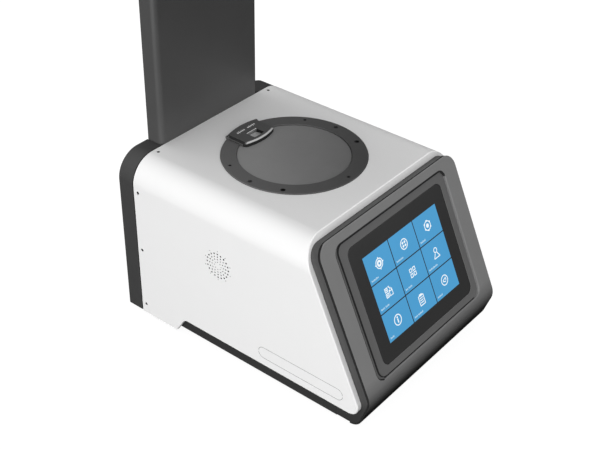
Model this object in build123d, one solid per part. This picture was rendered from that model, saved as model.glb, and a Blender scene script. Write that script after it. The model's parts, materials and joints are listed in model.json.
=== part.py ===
from build123d import *
from math import cos, radians, sin, tan
import os

# Light transmittance meter: a cabinet with an integrating sphere under a lidded
# port, and a column that carries a lamp head above the port.
# +Z is up, the screen faces -Y, and the origin is the centre of the footprint
# on the bench. Millimetres.

# Cabinet
BODY_WIDTH = 215.0
BODY_DEPTH = 292.0
SHELL_HEIGHT = 172.5
FOOT_HEIGHT = 4.0
OVERALL_HEIGHT = 540.0

# White shell
SHELL_WALL = 3.0
SHELL_EDGE_R = 26.0
FLANGE_THICK = 3.0
FLANGE_EDGE_R = 1.2
SKIRT_RISE = 17.1
SKIRT_CORNER_R = 10.0
HEEL_LENGTH = 46.5
HEEL_LEAN = 32.0
HEEL_R = 8.0

# Rear housing
REAR_DEPTH = 20.0
REAR_WALL = 3.0
REAR_INSET = 0.2
REAR_EDGE_R = 1.5
REAR_LIFT = 0.5
SEAM_WIDTH = 1.2
SEAM_DEPTH = 1.0
SPIGOT_LENGTH = 9.0
SPIGOT_WALL = 2.4
SPIGOT_SHOULDER = 3.0

# Front: a leaning face that turns under into a rounded chin
FRONT_TILT = 25.0
CHIN_ANGLE = 19.0
NOSE_UPPER_R = 18.0
NOSE_LOWER_R = 13.0
NOSE_HEIGHT = 33.05
FACE_DROP = 1.8
FACE_SIDE_STEP = 5.7
FACE_CORNER_R = 14.0
FLANGE_SET = 10.45
BEZEL_EDGE = 1.5
BEZEL_DEPTH = 6.5
BEZEL_PLUG_INSET = 3.8
BEZEL_EDGE_R = 0.6
NECK_WALL = 3.0
NECK_DEPTH = 24.0
NECK_UNDER_LENGTH = 34.0
NECK_BACK_HEIGHT = 38.0
NECK_SEAM = 0.2

# Screen
SCREEN_DROP = 76.2
SCREEN_SHIFT = 3.4
POCKET_DEPTH = 2.5
POCKET_HALF_WIDTH = 82.5
POCKET_UP = 66.6
POCKET_DOWN = 64.4
POCKET_R = 9.0
GLASS_WIDTH = 142.5
GLASS_HEIGHT = 114.5
GLASS_THICK = 1.8
GLASS_R = 8.0
PANEL_WIDTH = 124.0
PANEL_HEIGHT = 95.0
PANEL_THICK = 4.2
PANEL_MARGIN = 1.0
DISPLAY_BOARD_THICK = 1.6
DISPLAY_BOARD_GAP = 2.4
DISPLAY_BOARD_TRIM = 8.0
SPACER_R = 2.6

# Base tray
TRAY_LIFT = 0.8
TRAY_FLOOR = 3.0
TRAY_WALL = 2.5
TRAY_WALL_HEIGHT = 36.0
TRAY_SIDE_GAP = 6.0
TRAY_FRONT_GAP = 12.0

# Port and lid
PORT_SHARE = 0.287
RING_OUTER_R = 68.3
RING_INNER_R = 53.3
RING_PROUD = 1.0
RING_THICK = 6.0
RING_EDGE = 0.4
RING_HOLE_CIRCLE_R = 62.6
RING_SCREW_ANGLES = (-30, 210)
RING_GRUB_ANGLES = (-90, 30, 150)
RING_PIN_ANGLES = (0, 180)
RING_RELIEF = 0.3
FIXTURE_HOLE_R = 2.2
LID_R = 52.9
LID_DROP = 1.2
LID_THICK = 2.2
LID_RIB_OUTER_R = 45.0
LID_RIB_WIDTH = 2.5
LID_RIB_DEPTH = 2.0
BLOCK_HALF_WIDTH = 21.0
BLOCK_REAR_R = 68.0
BLOCK_FRONT_MID = 38.0
BLOCK_FRONT_SIDE = 42.0
BLOCK_PROUD = 3.6
BLOCK_LIFT = 0.15
BLOCK_CORNER_R = 4.0
BLOCK_BEVEL = 1.8
BLOCK_REAR_BEVEL = 0.6
GRIP_WIDTH = 13.4
GRIP_FRONT = 42.5
GRIP_REAR = 53.0
GRIP_DEPTH = 3.5
GRIP_CORNER_R = 1.0
HINGE_BACK = 64.2
HINGE_RISE = 0.9
HINGE_PIN_R = 0.9
HINGE_PIN_LENGTH = 36.0
HINGE_RUN = 0.05
KNUCKLE_R = 2.3
LUG_R = 1.7
LUG_HALF_WIDTH = 8.0
LUG_STEM_HALF = 1.2
HINGE_GROOVE_R = 4.7
SEAL_WIDTH = 4.5

# Port well and sphere
WELL_INNER_R = 46.5
WELL_WALL = 2.5
WELL_DEPTH = 8.0
WELL_FLOOR = 2.0
WELL_FLANGE_R = 67.0
WELL_FLANGE_THICK = 2.0
APERTURE_R = 12.5
APERTURE_CHAMFER = 1.2
WINDOW_GLASS_R = 15.0
WINDOW_GLASS_THICK = 2.0
SPHERE_INNER_R = 46.0
SPHERE_WALL = 4.0
SPHERE_DROP = 53.5
SPHERE_FLANGE_R = 60.0
SPHERE_FLANGE_THICK = 4.0
SPHERE_SCREW_R = 1.5
SPHERE_SCREW_COUNT = 4
SPHERE_LEG_R = 3.0
SPHERE_LEG_CIRCLE_R = 55.5
COLLAR_R = 18.0
TRAP_R = 12.0
TRAP_LENGTH = 30.0
TRAP_WALL = 1.5
TRAP_PORT_R = 8.0
BAFFLE_WIDTH = 16.0
BAFFLE_HEIGHT = 12.0
BAFFLE_THICK = 1.0
DETECTOR_DROP = 20.0
DETECTOR_R = 8.0
DETECTOR_BORE_R = 5.0
SPECTRO_SIZE = (30.0, 44.0, 28.0)
SPECTRO_SIDE_GAP = 8.5

# Deck that carries the port
DECK_THICK = 3.0
DECK_SIDE_GAP = 19.5
DECK_NECK_GAP = 6.0
DECK_BACK = 60.0
DECK_EDGE_R = 8.0
POST_R = 5.0
POST_EDGE = 9.0
POST_FORWARD = 57.0
POST_BACK = 51.0

# Fastenings
SHELL_SCREW_R = 1.5
SHELL_SCREW_LENGTH = 6.5
SHELL_SCREW_SETBACK = 5.2
SHELL_SCREW_HEIGHTS = (10.8, 76.3, 141.4)
SHELL_SCREW_TOP_IN = 29.2
SCREW_GAP = 0.1
RING_SCREW_R = 1.5
RING_SCREW_HEAD_R = 2.5
RING_SCREW_LENGTH = 12.0
RING_GRUB_DROP = 0.3
RING_SOCKET_R = 1.05
RING_SOCKET_DEPTH = 1.2
REAR_SCREW_R = 2.0
REAR_SCREW_HEAD_R = 3.6
REAR_SCREW_HEAD = 2.0
REAR_SCREW_X = 40.0
REAR_SCREW_HEIGHTS = (44.0, 138.0)
HEAD_SCREW_R = 1.5
HEAD_SCREW_HEAD_R = 3.0

# Side grille and speaker
GRILLE_HEIGHT = 105.2
GRILLE_R = 17.2
GRILLE_SEAM = 0.05
GRILLE_RING_RADII = (4.0, 6.9, 9.7, 12.75, 15.6)
GRILLE_RING_COUNTS = (8, 12, 16, 20, 10)
GRILLE_RING_TURNS = (0, 0, 0, 0, 18)
GRILLE_HOLE_RADII = (0.45, 0.55, 0.65, 0.8, 0.4)
SPEAKER_R = 20.0
SPEAKER_DEPTH = 6.0
MAGNET_R = 10.0
MAGNET_DEPTH = 7.0

# Rear panel
IO_HEIGHT = 28.0
IO_RECESS = 2.8
IO_POCKET_HEIGHT = 30.0
IO_POCKET_R = 3.0
SOCKET_POCKET_SIDE = 9.5
SOCKET_POCKET_WIDTH = 42.0
SWITCH_POCKET_SIDE = 17.5
SWITCH_POCKET_WIDTH = 30.0
DC_SIDE = 39.5
USB_SIDE = 20.5
DC_FLANGE_R = 5.6
DC_BODY_R = 4.8
DC_BORE_R = 3.1
DC_PIN_R = 1.0
DC_DEPTH = 13.0
USB_WIDTH = 12.0
USB_HEIGHT = 11.0
USB_DEPTH = 16.0
USB_WALL = 1.2
USB_MOUTH_DEPTH = 9.6
USB_TONGUE_WIDTH = 6.3
USB_TONGUE_HEIGHT = 3.6
ROCKER_FRAME_WIDTH = 15.0
ROCKER_FRAME_HEIGHT = 21.0
ROCKER_FRAME_FLANGE = 1.6
ROCKER_FRAME_WALL = 1.0
ROCKER_FRAME_DEPTH = 14.0
ROCKER_FLOOR = 4.0
ROCKER_WIDTH = 9.6
ROCKER_HEIGHT = 15.2
ROCKER_TILT = 7.0
ROCKER_PIVOT_DEPTH = 3.4
ROCKER_PROUD = 0.8
ROCKER_GAP = 0.9
ROCKER_KEEL = 1.6
ROCKER_PIVOT_R = 1.2
ROCKER_PIVOT_REACH = 0.8
VENT_COUNT = 9
VENT_PITCH = 8.0
VENT_WIDTH = 3.0
VENT_END_R = 1.45
VENT_LENGTH = 32.0
VENT_HEIGHT = 92.0

# Column and mast
COLUMN_HALF_WIDTH = 68.0
COLUMN_DEPTH = 19.3
COLUMN_WALL = 2.2
COLUMN_FRONT_R = 5.5
COLUMN_REAR_R = 2.0
COLUMN_SINK = 10.0
COLUMN_GAP = 0.2
SOCKET_WALL = 3.0
MAST_HALF_WIDTH = 50.0
MAST_DEPTH = 10.0
MAST_WALL = 2.0
MAST_SETBACK = 5.0
MAST_GAP = 0.6
MAST_TOP_DROP = 20.0
MAST_FOOT_HALF_WIDTH = 45.0
MAST_FOOT_LENGTH = 34.0
MAST_FOOT_HEIGHT = 96.0
MAST_FOOT_THICK = 3.0
GUSSET_LENGTH = 22.0
GUSSET_HEIGHT = 60.0
LEAD_WIDTH = 16.0
LEAD_THICK = 0.9

# Lamp head
HEAD_HALF_WIDTH = 77.0
HEAD_HEIGHT = 92.0
HEAD_REACH = 70.0
HEAD_WALL = 3.0
HEAD_BASE_HEIGHT = 16.0
HEAD_FRONT_R = 34.0
HEAD_REAR_R = 12.0
HEAD_CHIN_R = 8.0
HEAD_SIDE_R = 10.0
HEAD_LEAN = 12.0
HEAD_SEAM = 0.8
HEAD_BOSS_R = 4.0
HEAD_BOSS_X = 62.0
HEAD_BOSS_FRONT = 30.0
HEAD_BOSS_REAR = 18.0
ARM_HALF_WIDTH = 40.0
ARM_THICK = 3.0
ARM_RISE = 30.0
ARM_FRONT = 42.0
ARM_TAB_HEIGHT = 32.0
LENS_TUBE_R = 24.0
LENS_TUBE_WALL = 2.0
LENS_TUBE_FLANGE_R = 30.0
LENS_TUBE_FLANGE = 3.0
LENS_TUBE_LOW = 8.0
LENS_TUBE_HIGH = 58.0
LENS_THICK = 3.0
LENS_CROWN = 6.0
LENS_SEAT = 2.0
LAMP_BOARD_SIDE = 50.0
LAMP_BOARD_THICK = 1.6
EMITTER_R = 6.0
EMITTER_THICK = 1.2
SINK_BASE = 4.0
SINK_FIN_HEIGHT = 12.0
SINK_FIN_THICK = 1.6
SINK_FIN_COUNT = 9
EXIT_RING_R = 32.0
EXIT_BORE_R = 22.0
EXIT_PROUD = 3.0
EXIT_LEDGE = 2.0
EXIT_WINDOW_THICK = 2.0

# Boards and power
MAIN_BOARD_SIZE = (140.0, 48.0, 1.6)
PROCESSOR_SIZE = (22.0, 22.0, 3.0)
CONNECTOR_SIZE = (30.0, 9.0, 6.0)
COIL_SIZE = (14.0, 14.0, 9.0)
STANDOFF_R = 3.0
STANDOFF_HEIGHT = 8.0
STANDOFF_EDGE = 6.0
POWER_SIZE = (22.0, 40.0, 28.0)
POWER_SIDE_GAP = 4.0
POWER_REAR_GAP = 6.2
POWER_EDGE_R = 1.5

# Feet
FOOT_R = 9.0
FOOT_TOP_R = 8.0
FOOT_SIDE = 23.5
FOOT_FRONT = 52.0
FOOT_REAR = 40.0
FOOT_SCREW_R = 2.0
FOOT_SCREW_HEAD_R = 4.0
FOOT_RECESS = 2.0

# Planes and heights that follow from the sizes above
FIT_GAP = 0.3
Y_REAR = BODY_DEPTH / 2
Y_NOSE = -BODY_DEPTH / 2
Y_SEAM = Y_REAR - REAR_DEPTH
Z_UNDER = FOOT_HEIGHT
Z_TOP = Z_UNDER + SHELL_HEIGHT
Z_TRAY = Z_UNDER + TRAY_LIFT
Z_FLOOR = Z_TRAY + TRAY_FLOOR
Z_RING = Z_TOP + RING_PROUD
Z_WELL = Z_RING - RING_THICK
Z_WELL_FLOOR = Z_WELL - WELL_DEPTH
Z_WELL_UNDER = Z_WELL_FLOOR - WELL_FLOOR
Z_DECK = Z_WELL - WELL_FLANGE_THICK
Z_SPHERE = Z_WELL_UNDER - SPHERE_DROP
Z_LID_UNDER = Z_RING - LID_DROP - LID_THICK
Z_HEAD = OVERALL_HEIGHT - HEAD_HEIGHT
Z_HEAD_SPLIT = Z_HEAD + HEAD_BASE_HEIGHT
Z_ARM = Z_HEAD + ARM_RISE
Z_SOCKET = Z_TOP - COLUMN_SINK
MAST_Y = Y_SEAM + MAST_SETBACK
Y_PANEL = Y_REAR - IO_RECESS
SPHERE_R = SPHERE_INNER_R + SPHERE_WALL
Z_IO = Z_UNDER + IO_HEIGHT
GRILLE_Z = Z_UNDER + GRILLE_HEIGHT
FACE_HALF_WIDTH = BODY_WIDTH / 2 - FACE_SIDE_STEP
TRAY_HALF_WIDTH = BODY_WIDTH / 2 - TRAY_SIDE_GAP
DECK_HALF_WIDTH = BODY_WIDTH / 2 - DECK_SIDE_GAP
SHELL_SCREW_TOP_X = BODY_WIDTH / 2 - SHELL_SCREW_TOP_IN
DC_X = DC_SIDE - BODY_WIDTH / 2
USB_X = USB_SIDE - BODY_WIDTH / 2
SOCKET_POCKET_X = SOCKET_POCKET_SIDE + SOCKET_POCKET_WIDTH / 2 - BODY_WIDTH / 2
ROCKER_X = BODY_WIDTH / 2 - SWITCH_POCKET_SIDE - SWITCH_POCKET_WIDTH / 2
ROCKER_POINT = (ROCKER_X, Y_PANEL - ROCKER_PIVOT_DEPTH, Z_IO)
DETECTOR_END_X = BODY_WIDTH / 2 - SHELL_WALL - SPECTRO_SIDE_GAP - SPECTRO_SIZE[0]
TRAY_FRONT_Y = Y_NOSE + NECK_UNDER_LENGTH
MAIN_BOARD_Y = TRAY_FRONT_Y + TRAY_FRONT_GAP + MAIN_BOARD_SIZE[1] / 2
POWER_X = -(MAST_FOOT_HALF_WIDTH + POWER_SIDE_GAP + POWER_SIZE[0] / 2)
POWER_Y = Y_PANEL - USB_DEPTH - POWER_REAR_GAP - POWER_SIZE[1] / 2

# The leaning face: its outward direction and its upward direction in the side view
FACE_OUT = (-cos(radians(FRONT_TILT)), sin(radians(FRONT_TILT)))
FACE_UP = (sin(radians(FRONT_TILT)), cos(radians(FRONT_TILT)))
CHIN_OUT = (-cos(radians(CHIN_ANGLE)), -sin(radians(CHIN_ANGLE)))
NOSE_CENTRE = (Y_NOSE + NOSE_UPPER_R, Z_UNDER + NOSE_HEIGHT)


def along(point, direction, distance):
    """A side-view point moved along a direction."""
    return (point[0] + direction[0] * distance, point[1] + direction[1] * distance)


def face_point(height, depth=0.0):
    """The side-view point at a height, this far behind the leaning face."""
    reach = FACE_OUT[0] * NOSE_CENTRE[0] + FACE_OUT[1] * NOSE_CENTRE[1] + NOSE_UPPER_R - depth
    return ((reach - FACE_OUT[1] * height) / FACE_OUT[0], height)


FACE_TOP = face_point(Z_TOP - FACE_DROP)
SCREEN_CENTRE = along(FACE_TOP, FACE_UP, -SCREEN_DROP)

# The port takes its place between the back of the neck and the spigot of the rear housing
TOP_FRONT_Y = face_point(Z_TOP, NECK_DEPTH)[0]
TOP_SPARE = Y_SEAM - SPIGOT_LENGTH - TOP_FRONT_Y - 2 * RING_OUTER_R
PORT_Y = TOP_FRONT_Y + PORT_SHARE * TOP_SPARE + RING_OUTER_R
DECK_FRONT_Y = face_point(Z_DECK, NECK_DEPTH)[0] + DECK_NECK_GAP
HINGE_POINT = (0, PORT_Y + HINGE_BACK, Z_RING + HINGE_RISE)
Y_HEAD_FRONT = PORT_Y - HEAD_REACH


def face_plane(depth=0.0):
    """Plane on the leaning face, centred on the screen: x to the right, y up the slope."""
    point = along(SCREEN_CENTRE, FACE_OUT, -depth)
    return Plane((0, point[0], point[1]), x_dir=(1, 0, 0), z_dir=(0, FACE_OUT[0], FACE_OUT[1]))


def level(height, x=0.0, y=0.0):
    """Horizontal plane at a height."""
    return Plane((x, y, height), x_dir=(1, 0, 0), z_dir=(0, 0, 1))


def upright(y):
    """Upright plane across the cabinet: x to the right, y up, pushed towards the front."""
    return Plane((0, y, 0), x_dir=(1, 0, 0), z_dir=(0, -1, 0))


def side_solid(face, half_width):
    """Solid of a side-view outline, pushed equally to both sides."""
    return extrude(Plane.YZ * face, amount=half_width, both=True)


def outline(points, radii):
    """Closed side-view outline, each corner with its own radius, 0 for a sharp one."""
    face = make_face(Polyline(*points, close=True))
    for point, radius in zip(points, radii):
        if radius > 0:
            corner = face.vertices().sort_by_distance(Vector(point[0], point[1], 0))[0]
            face = fillet(corner, radius)
    return face


def arch(half_width, low, high, radius):
    """Cross-section of the cabinet: a rectangle with its two upper corners rounded."""
    face = Pos(0, (low + high) / 2) * Rectangle(2 * half_width, high - low)
    return fillet(face.vertices().group_by(Axis.Y)[-1], radius)


def cylinder_up(x, y, low, high, radius):
    """Upright cylinder between two heights."""
    return extrude(level(low, x, y) * Circle(radius), amount=high - low)


def block_up(x, y, low, size, radius=0.0):
    """Box that stands on a height, with rounded upright edges."""
    face = RectangleRounded(size[0], size[1], radius) if radius > 0 else Rectangle(size[0], size[1])
    return extrude(level(low, x, y) * face, amount=size[2])


def bar_across(x_low, x_high, y, z, radius):
    """Round bar along X."""
    plane = Plane((x_low, y, z), x_dir=(0, 1, 0), z_dir=(1, 0, 0))
    return extrude(plane * Circle(radius), amount=x_high - x_low)


def bar_forward(x, y_rear, z, radius, length):
    """Round bar along Y, from its rear end towards the front."""
    plane = Plane((x, y_rear, z), x_dir=(1, 0, 0), z_dir=(0, -1, 0))
    return extrude(plane * Circle(radius), amount=length)


def slab_forward(x, y_rear, z, width, height, length, radius=0.0):
    """Slab along Y, from its rear end towards the front."""
    plane = Plane((x, y_rear, z), x_dir=(1, 0, 0), z_dir=(0, -1, 0))
    face = RectangleRounded(width, height, radius) if radius > 0 else Rectangle(width, height)
    return extrude(plane * face, amount=length)


def nose_path(inset):
    """Edges of the front in the side view, from the face's top edge round the chin."""
    upper = NOSE_UPPER_R - inset
    lower = NOSE_LOWER_R - inset
    low_z = Z_UNDER + NOSE_LOWER_R
    reach = CHIN_OUT[0] * NOSE_CENTRE[0] + CHIN_OUT[1] * NOSE_CENTRE[1]
    reach += NOSE_UPPER_R - NOSE_LOWER_R
    low_centre = ((reach - CHIN_OUT[1] * low_z) / CHIN_OUT[0], low_z)
    brow = radians((CHIN_ANGLE - FRONT_TILT) / 2)
    under = radians((CHIN_ANGLE + 90) / 2)
    top = along(FACE_TOP, FACE_OUT, -inset)
    first = along(NOSE_CENTRE, FACE_OUT, upper)
    second = along(NOSE_CENTRE, CHIN_OUT, upper)
    third = along(low_centre, CHIN_OUT, lower)
    last = (low_centre[0], low_centre[1] - lower)
    first_mid = along(NOSE_CENTRE, (-cos(brow), -sin(brow)), upper)
    last_mid = along(low_centre, (-cos(under), -sin(under)), lower)
    edges = [
        Line(top, first),
        ThreePointArc(first, first_mid, second),
        Line(second, third),
        ThreePointArc(third, last_mid, last),
    ]
    return edges, top, last


def rounded_front(half_width, top_inset, radius):
    """Prism square to the face that rounds the two upper corners of the front."""
    top = SCREEN_DROP - top_inset
    low = -2 * SCREEN_DROP
    face = Pos(0, (top + low) / 2) * Rectangle(2 * half_width, top - low)
    face = fillet(face.vertices().group_by(Axis.Y)[-1], radius)
    return extrude(face_plane(-1) * face, amount=-(BODY_DEPTH / 2))


def outer_shell():
    """White cover: an inverted U with a flat front flange, a raised skirt and a heel."""
    heel_top = Z_UNDER + SKIRT_RISE
    heel_y = Y_SEAM - HEEL_LENGTH

    def side(depth, low):
        rise = heel_top if low else 0
        points = [
            (Y_SEAM + (0 if low else 1), Z_UNDER if low else -1),
            (Y_SEAM + (0 if low else 1), Z_TOP),
            face_point(Z_TOP, depth),
            face_point(rise, depth),
        ]
        radii = [0, 0, 0, SKIRT_CORNER_R if low else 0]
        if low:
            points.append((heel_y - SKIRT_RISE * tan(radians(HEEL_LEAN)), heel_top))
            points.append((heel_y, Z_UNDER))
            radii.extend([HEEL_R, 0])
        return outline(points, radii)

    outer = extrude(
        upright(Y_SEAM) * arch(BODY_WIDTH / 2, Z_UNDER, Z_TOP, SHELL_EDGE_R), amount=BODY_DEPTH
    )
    outer &= side_solid(side(FLANGE_SET, True), BODY_WIDTH)
    flange = outer.faces().sort_by_distance(
        Vector(0, *face_point(Z_TOP - FLANGE_THICK, FLANGE_SET))
    )[0]
    outer = fillet(flange.edges(), FLANGE_EDGE_R)
    inner = extrude(
        upright(Y_SEAM + 1)
        * arch(BODY_WIDTH / 2 - SHELL_WALL, -1, Z_TOP - SHELL_WALL, SHELL_EDGE_R - SHELL_WALL),
        amount=BODY_DEPTH,
    )
    inner &= side_solid(side(FLANGE_SET + FLANGE_THICK, False), BODY_WIDTH)
    shell = outer - inner
    shell -= rounded_front(FACE_HALF_WIDTH + FIT_GAP, -FIT_GAP, FACE_CORNER_R + FIT_GAP)
    shell -= cylinder_up(0, PORT_Y, Z_SPHERE, Z_RING + 1, RING_OUTER_R + FIT_GAP)
    shell -= bar_across(-BODY_WIDTH, -BODY_WIDTH / 4, PORT_Y, GRILLE_Z, GRILLE_R + GRILLE_SEAM)
    for place in shell_screw_places():
        shell -= place * extrude(Circle(SHELL_SCREW_R + SCREW_GAP), amount=SHELL_SCREW_LENGTH)
    return shell


def shell_screw_places():
    """Planes of the screws that hold the shell to the rear housing, pointing inwards."""
    y = Y_SEAM - SHELL_SCREW_SETBACK
    places = []
    for side in (-1, 1):
        for height in SHELL_SCREW_HEIGHTS:
            point = (side * BODY_WIDTH / 2, y, Z_UNDER + height)
            places.append(Plane(point, x_dir=(0, 1, 0), z_dir=(-side, 0, 0)))
        point = (side * SHELL_SCREW_TOP_X, y, Z_TOP)
        places.append(Plane(point, x_dir=(1, 0, 0), z_dir=(0, 0, -1)))
    return places


def shell_screws():
    """Small countersunk screws round the rear edge of the shell."""
    screws = []
    for place in shell_screw_places():
        screws.append(place * extrude(Circle(SHELL_SCREW_R), amount=SHELL_SCREW_LENGTH))
    return screws


def speaker_grille():
    """Perforated round insert in the left wall, with rings of holes that shrink inwards."""
    plane = Plane((-BODY_WIDTH / 2, PORT_Y, GRILLE_Z), x_dir=(0, 1, 0), z_dir=(1, 0, 0))
    disc = Circle(GRILLE_R)
    rings = zip(GRILLE_RING_RADII, GRILLE_RING_COUNTS, GRILLE_RING_TURNS, GRILLE_HOLE_RADII)
    for radius, count, turn, hole_r in rings:
        disc -= PolarLocations(radius, count, turn) * Circle(hole_r)
    return extrude(plane * disc, amount=SHELL_WALL)


def speaker():
    """Small loudspeaker against the inner face of the grille."""
    wall = -BODY_WIDTH / 2 + SHELL_WALL
    basket = bar_across(wall, wall + SPEAKER_DEPTH, PORT_Y, GRILLE_Z, SPEAKER_R)
    cone = bar_across(wall, wall + SPEAKER_DEPTH / 2, PORT_Y, GRILLE_Z, GRILLE_R)
    back = wall + SPEAKER_DEPTH
    magnet = bar_across(back, back + MAGNET_DEPTH, PORT_Y, GRILLE_Z, MAGNET_R)
    return basket - cone + magnet


def rear_housing():
    """Dark rear cover with a socket for the column and a spigot that enters the shell."""
    low = Z_UNDER + REAR_LIFT

    def section(inset, bottom):
        return arch(BODY_WIDTH / 2 - inset, bottom, Z_TOP - inset, SHELL_EDGE_R - inset)

    body = extrude(upright(Y_REAR) * section(REAR_INSET, low), amount=REAR_DEPTH)
    body = fillet(body.faces().sort_by(Axis.Y)[-1].edges(), REAR_EDGE_R)
    groove = extrude(
        upright(Y_SEAM + SEAM_WIDTH) * Rectangle(2 * BODY_WIDTH, 4 * SHELL_HEIGHT), amount=SEAM_WIDTH
    )
    groove -= extrude(
        upright(Y_SEAM + SEAM_WIDTH) * section(REAR_INSET + SEAM_DEPTH, low), amount=SEAM_WIDTH
    )
    body -= groove
    spigot_outer = SHELL_WALL + FIT_GAP
    spigot_inner = spigot_outer + SPIGOT_WALL
    body += extrude(upright(Y_SEAM) * section(spigot_outer, low), amount=SPIGOT_LENGTH)
    shoulder = Y_SEAM + SPIGOT_SHOULDER
    body -= extrude(
        upright(shoulder) * section(spigot_inner, low + REAR_WALL),
        amount=SPIGOT_SHOULDER + SPIGOT_LENGTH,
    )
    body -= extrude(
        upright(Y_SEAM) * Pos(0, low) * Rectangle(2 * TRAY_HALF_WIDTH + 2 * FIT_GAP, 2 * REAR_WALL),
        amount=SPIGOT_LENGTH,
    )
    cavity = extrude(
        upright(Y_REAR - REAR_WALL) * section(REAR_INSET + REAR_WALL, low + REAR_WALL),
        amount=REAR_DEPTH - REAR_WALL - SPIGOT_SHOULDER,
    )
    socket_half = COLUMN_HALF_WIDTH + COLUMN_GAP
    socket_wall = block_up(
        0,
        Y_SEAM + REAR_DEPTH / 2,
        Z_SOCKET - SOCKET_WALL,
        (2 * (socket_half + SOCKET_WALL), REAR_DEPTH, COLUMN_SINK + SOCKET_WALL),
    )
    body -= cavity - socket_wall
    for middle, width in ((SOCKET_POCKET_X, SOCKET_POCKET_WIDTH), (ROCKER_X, SWITCH_POCKET_WIDTH)):
        body += slab_forward(
            middle, Y_PANEL, Z_IO, width + 2 * REAR_WALL, IO_POCKET_HEIGHT + 2 * REAR_WALL, REAR_WALL
        )
        body -= slab_forward(
            middle, Y_REAR, Z_IO, width, IO_POCKET_HEIGHT, IO_RECESS, IO_POCKET_R
        )
    body -= extrude(
        level(Z_SOCKET, 0, Y_SEAM + REAR_DEPTH / 2) * Rectangle(2 * socket_half, 2 * REAR_DEPTH),
        amount=COLUMN_SINK + 1,
    )
    body += extrude(
        upright(Y_SEAM) * Pos(0, Z_TOP - spigot_outer - SPIGOT_WALL / 2)
        * Rectangle(2 * socket_half + 2 * SOCKET_WALL, SPIGOT_WALL),
        amount=SPIGOT_LENGTH,
    )
    mast_middle = MAST_Y + MAST_DEPTH / 2
    body -= block_up(
        0,
        mast_middle,
        Z_SOCKET - 2 * SOCKET_WALL,
        (2 * (MAST_HALF_WIDTH + MAST_GAP), MAST_DEPTH + 2 * MAST_GAP, 3 * SOCKET_WALL),
    )
    mast_rear = MAST_Y + MAST_DEPTH
    for x, z in rear_screw_points():
        boss = Y_REAR - REAR_WALL - mast_rear - SCREW_GAP
        body += bar_forward(x, Y_REAR - REAR_WALL, z, REAR_SCREW_HEAD_R, boss)
        body -= bar_forward(x, Y_REAR, z, REAR_SCREW_R + SCREW_GAP, REAR_DEPTH / 2)
        body -= bar_forward(x, Y_REAR, z, REAR_SCREW_HEAD_R + SCREW_GAP, REAR_SCREW_HEAD)
    for step in range(VENT_COUNT):
        x = (step - (VENT_COUNT - 1) / 2) * VENT_PITCH
        body -= slab_forward(
            x, Y_REAR, Z_UNDER + VENT_HEIGHT, VENT_WIDTH, VENT_LENGTH, REAR_WALL, VENT_END_R
        )
    body -= bar_forward(DC_X, Y_REAR, Z_IO, DC_BODY_R + SCREW_GAP, REAR_DEPTH)
    body -= slab_forward(
        USB_X, Y_REAR, Z_IO, USB_WIDTH + 2 * SCREW_GAP, USB_HEIGHT + 2 * SCREW_GAP, REAR_DEPTH
    )
    body -= slab_forward(
        ROCKER_X,
        Y_REAR,
        Z_IO,
        ROCKER_FRAME_WIDTH - 2 * ROCKER_FRAME_WALL + 2 * SCREW_GAP,
        ROCKER_FRAME_HEIGHT - 2 * ROCKER_FRAME_WALL + 2 * SCREW_GAP,
        REAR_DEPTH,
    )
    for place in shell_screw_places():
        body -= place * extrude(Circle(SHELL_SCREW_R + SCREW_GAP), amount=2 * SHELL_SCREW_LENGTH)
    return body


def rear_screw_points():
    """Places of the four screws through the rear wall into the mast."""
    return [(side * REAR_SCREW_X, Z_UNDER + height) for side in (-1, 1) for height in REAR_SCREW_HEIGHTS]


def rear_screws():
    """Pan-head screws sunk in the rear wall."""
    screws = []
    for x, z in rear_screw_points():
        head = bar_forward(x, Y_REAR - SCREW_GAP, z, REAR_SCREW_HEAD_R, REAR_SCREW_HEAD - SCREW_GAP)
        drive = slab_forward(x, Y_REAR, z, REAR_SCREW_R / 2, REAR_SCREW_HEAD_R, REAR_SCREW_HEAD / 2)
        reach = Y_REAR - MAST_Y - MAST_DEPTH + MAST_WALL
        shank = bar_forward(x, Y_REAR - REAR_SCREW_HEAD, z, REAR_SCREW_R, reach - REAR_SCREW_HEAD)
        screws.append(head - drive + shank)
    return screws


def base_tray():
    """Dark tray under the cabinet, with low side walls inside the skirt."""
    length = Y_SEAM - TRAY_FRONT_Y
    middle = (Y_SEAM + TRAY_FRONT_Y) / 2
    tray = block_up(0, middle, Z_TRAY, (2 * TRAY_HALF_WIDTH, length, TRAY_WALL_HEIGHT))
    inner = 2 * (TRAY_HALF_WIDTH - TRAY_WALL)
    tray -= block_up(0, middle, Z_FLOOR, (inner, length + 2, TRAY_WALL_HEIGHT))
    for x, y in foot_points():
        tray -= cylinder_up(x, y, Z_TRAY, Z_FLOOR, FOOT_SCREW_R + SCREW_GAP)
    for side in (-1, 1):
        place = Plane(
            (side * BODY_WIDTH / 2, Y_SEAM - SHELL_SCREW_SETBACK, Z_UNDER + SHELL_SCREW_HEIGHTS[0]),
            x_dir=(0, 1, 0),
            z_dir=(-side, 0, 0),
        )
        tray -= place * extrude(Circle(SHELL_SCREW_R + SCREW_GAP), amount=2 * SHELL_SCREW_LENGTH)
    return tray


def foot_points():
    """Places of the four feet."""
    x = BODY_WIDTH / 2 - FOOT_SIDE
    return [(side * x, y) for side in (-1, 1) for y in (Y_NOSE + FOOT_FRONT, Y_REAR - FOOT_REAR)]


def feet():
    """Rubber feet, a little tapered, with a sunk screw hole."""
    pads = []
    for x, y in foot_points():
        pad = loft([level(0, x, y) * Circle(FOOT_TOP_R), level(Z_TRAY, x, y) * Circle(FOOT_R)])
        pad -= cylinder_up(x, y, 0, FOOT_RECESS, FOOT_SCREW_HEAD_R + SCREW_GAP)
        pad -= cylinder_up(x, y, 0, Z_TRAY, FOOT_SCREW_R + SCREW_GAP)
        pads.append(pad)
    return pads


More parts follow.
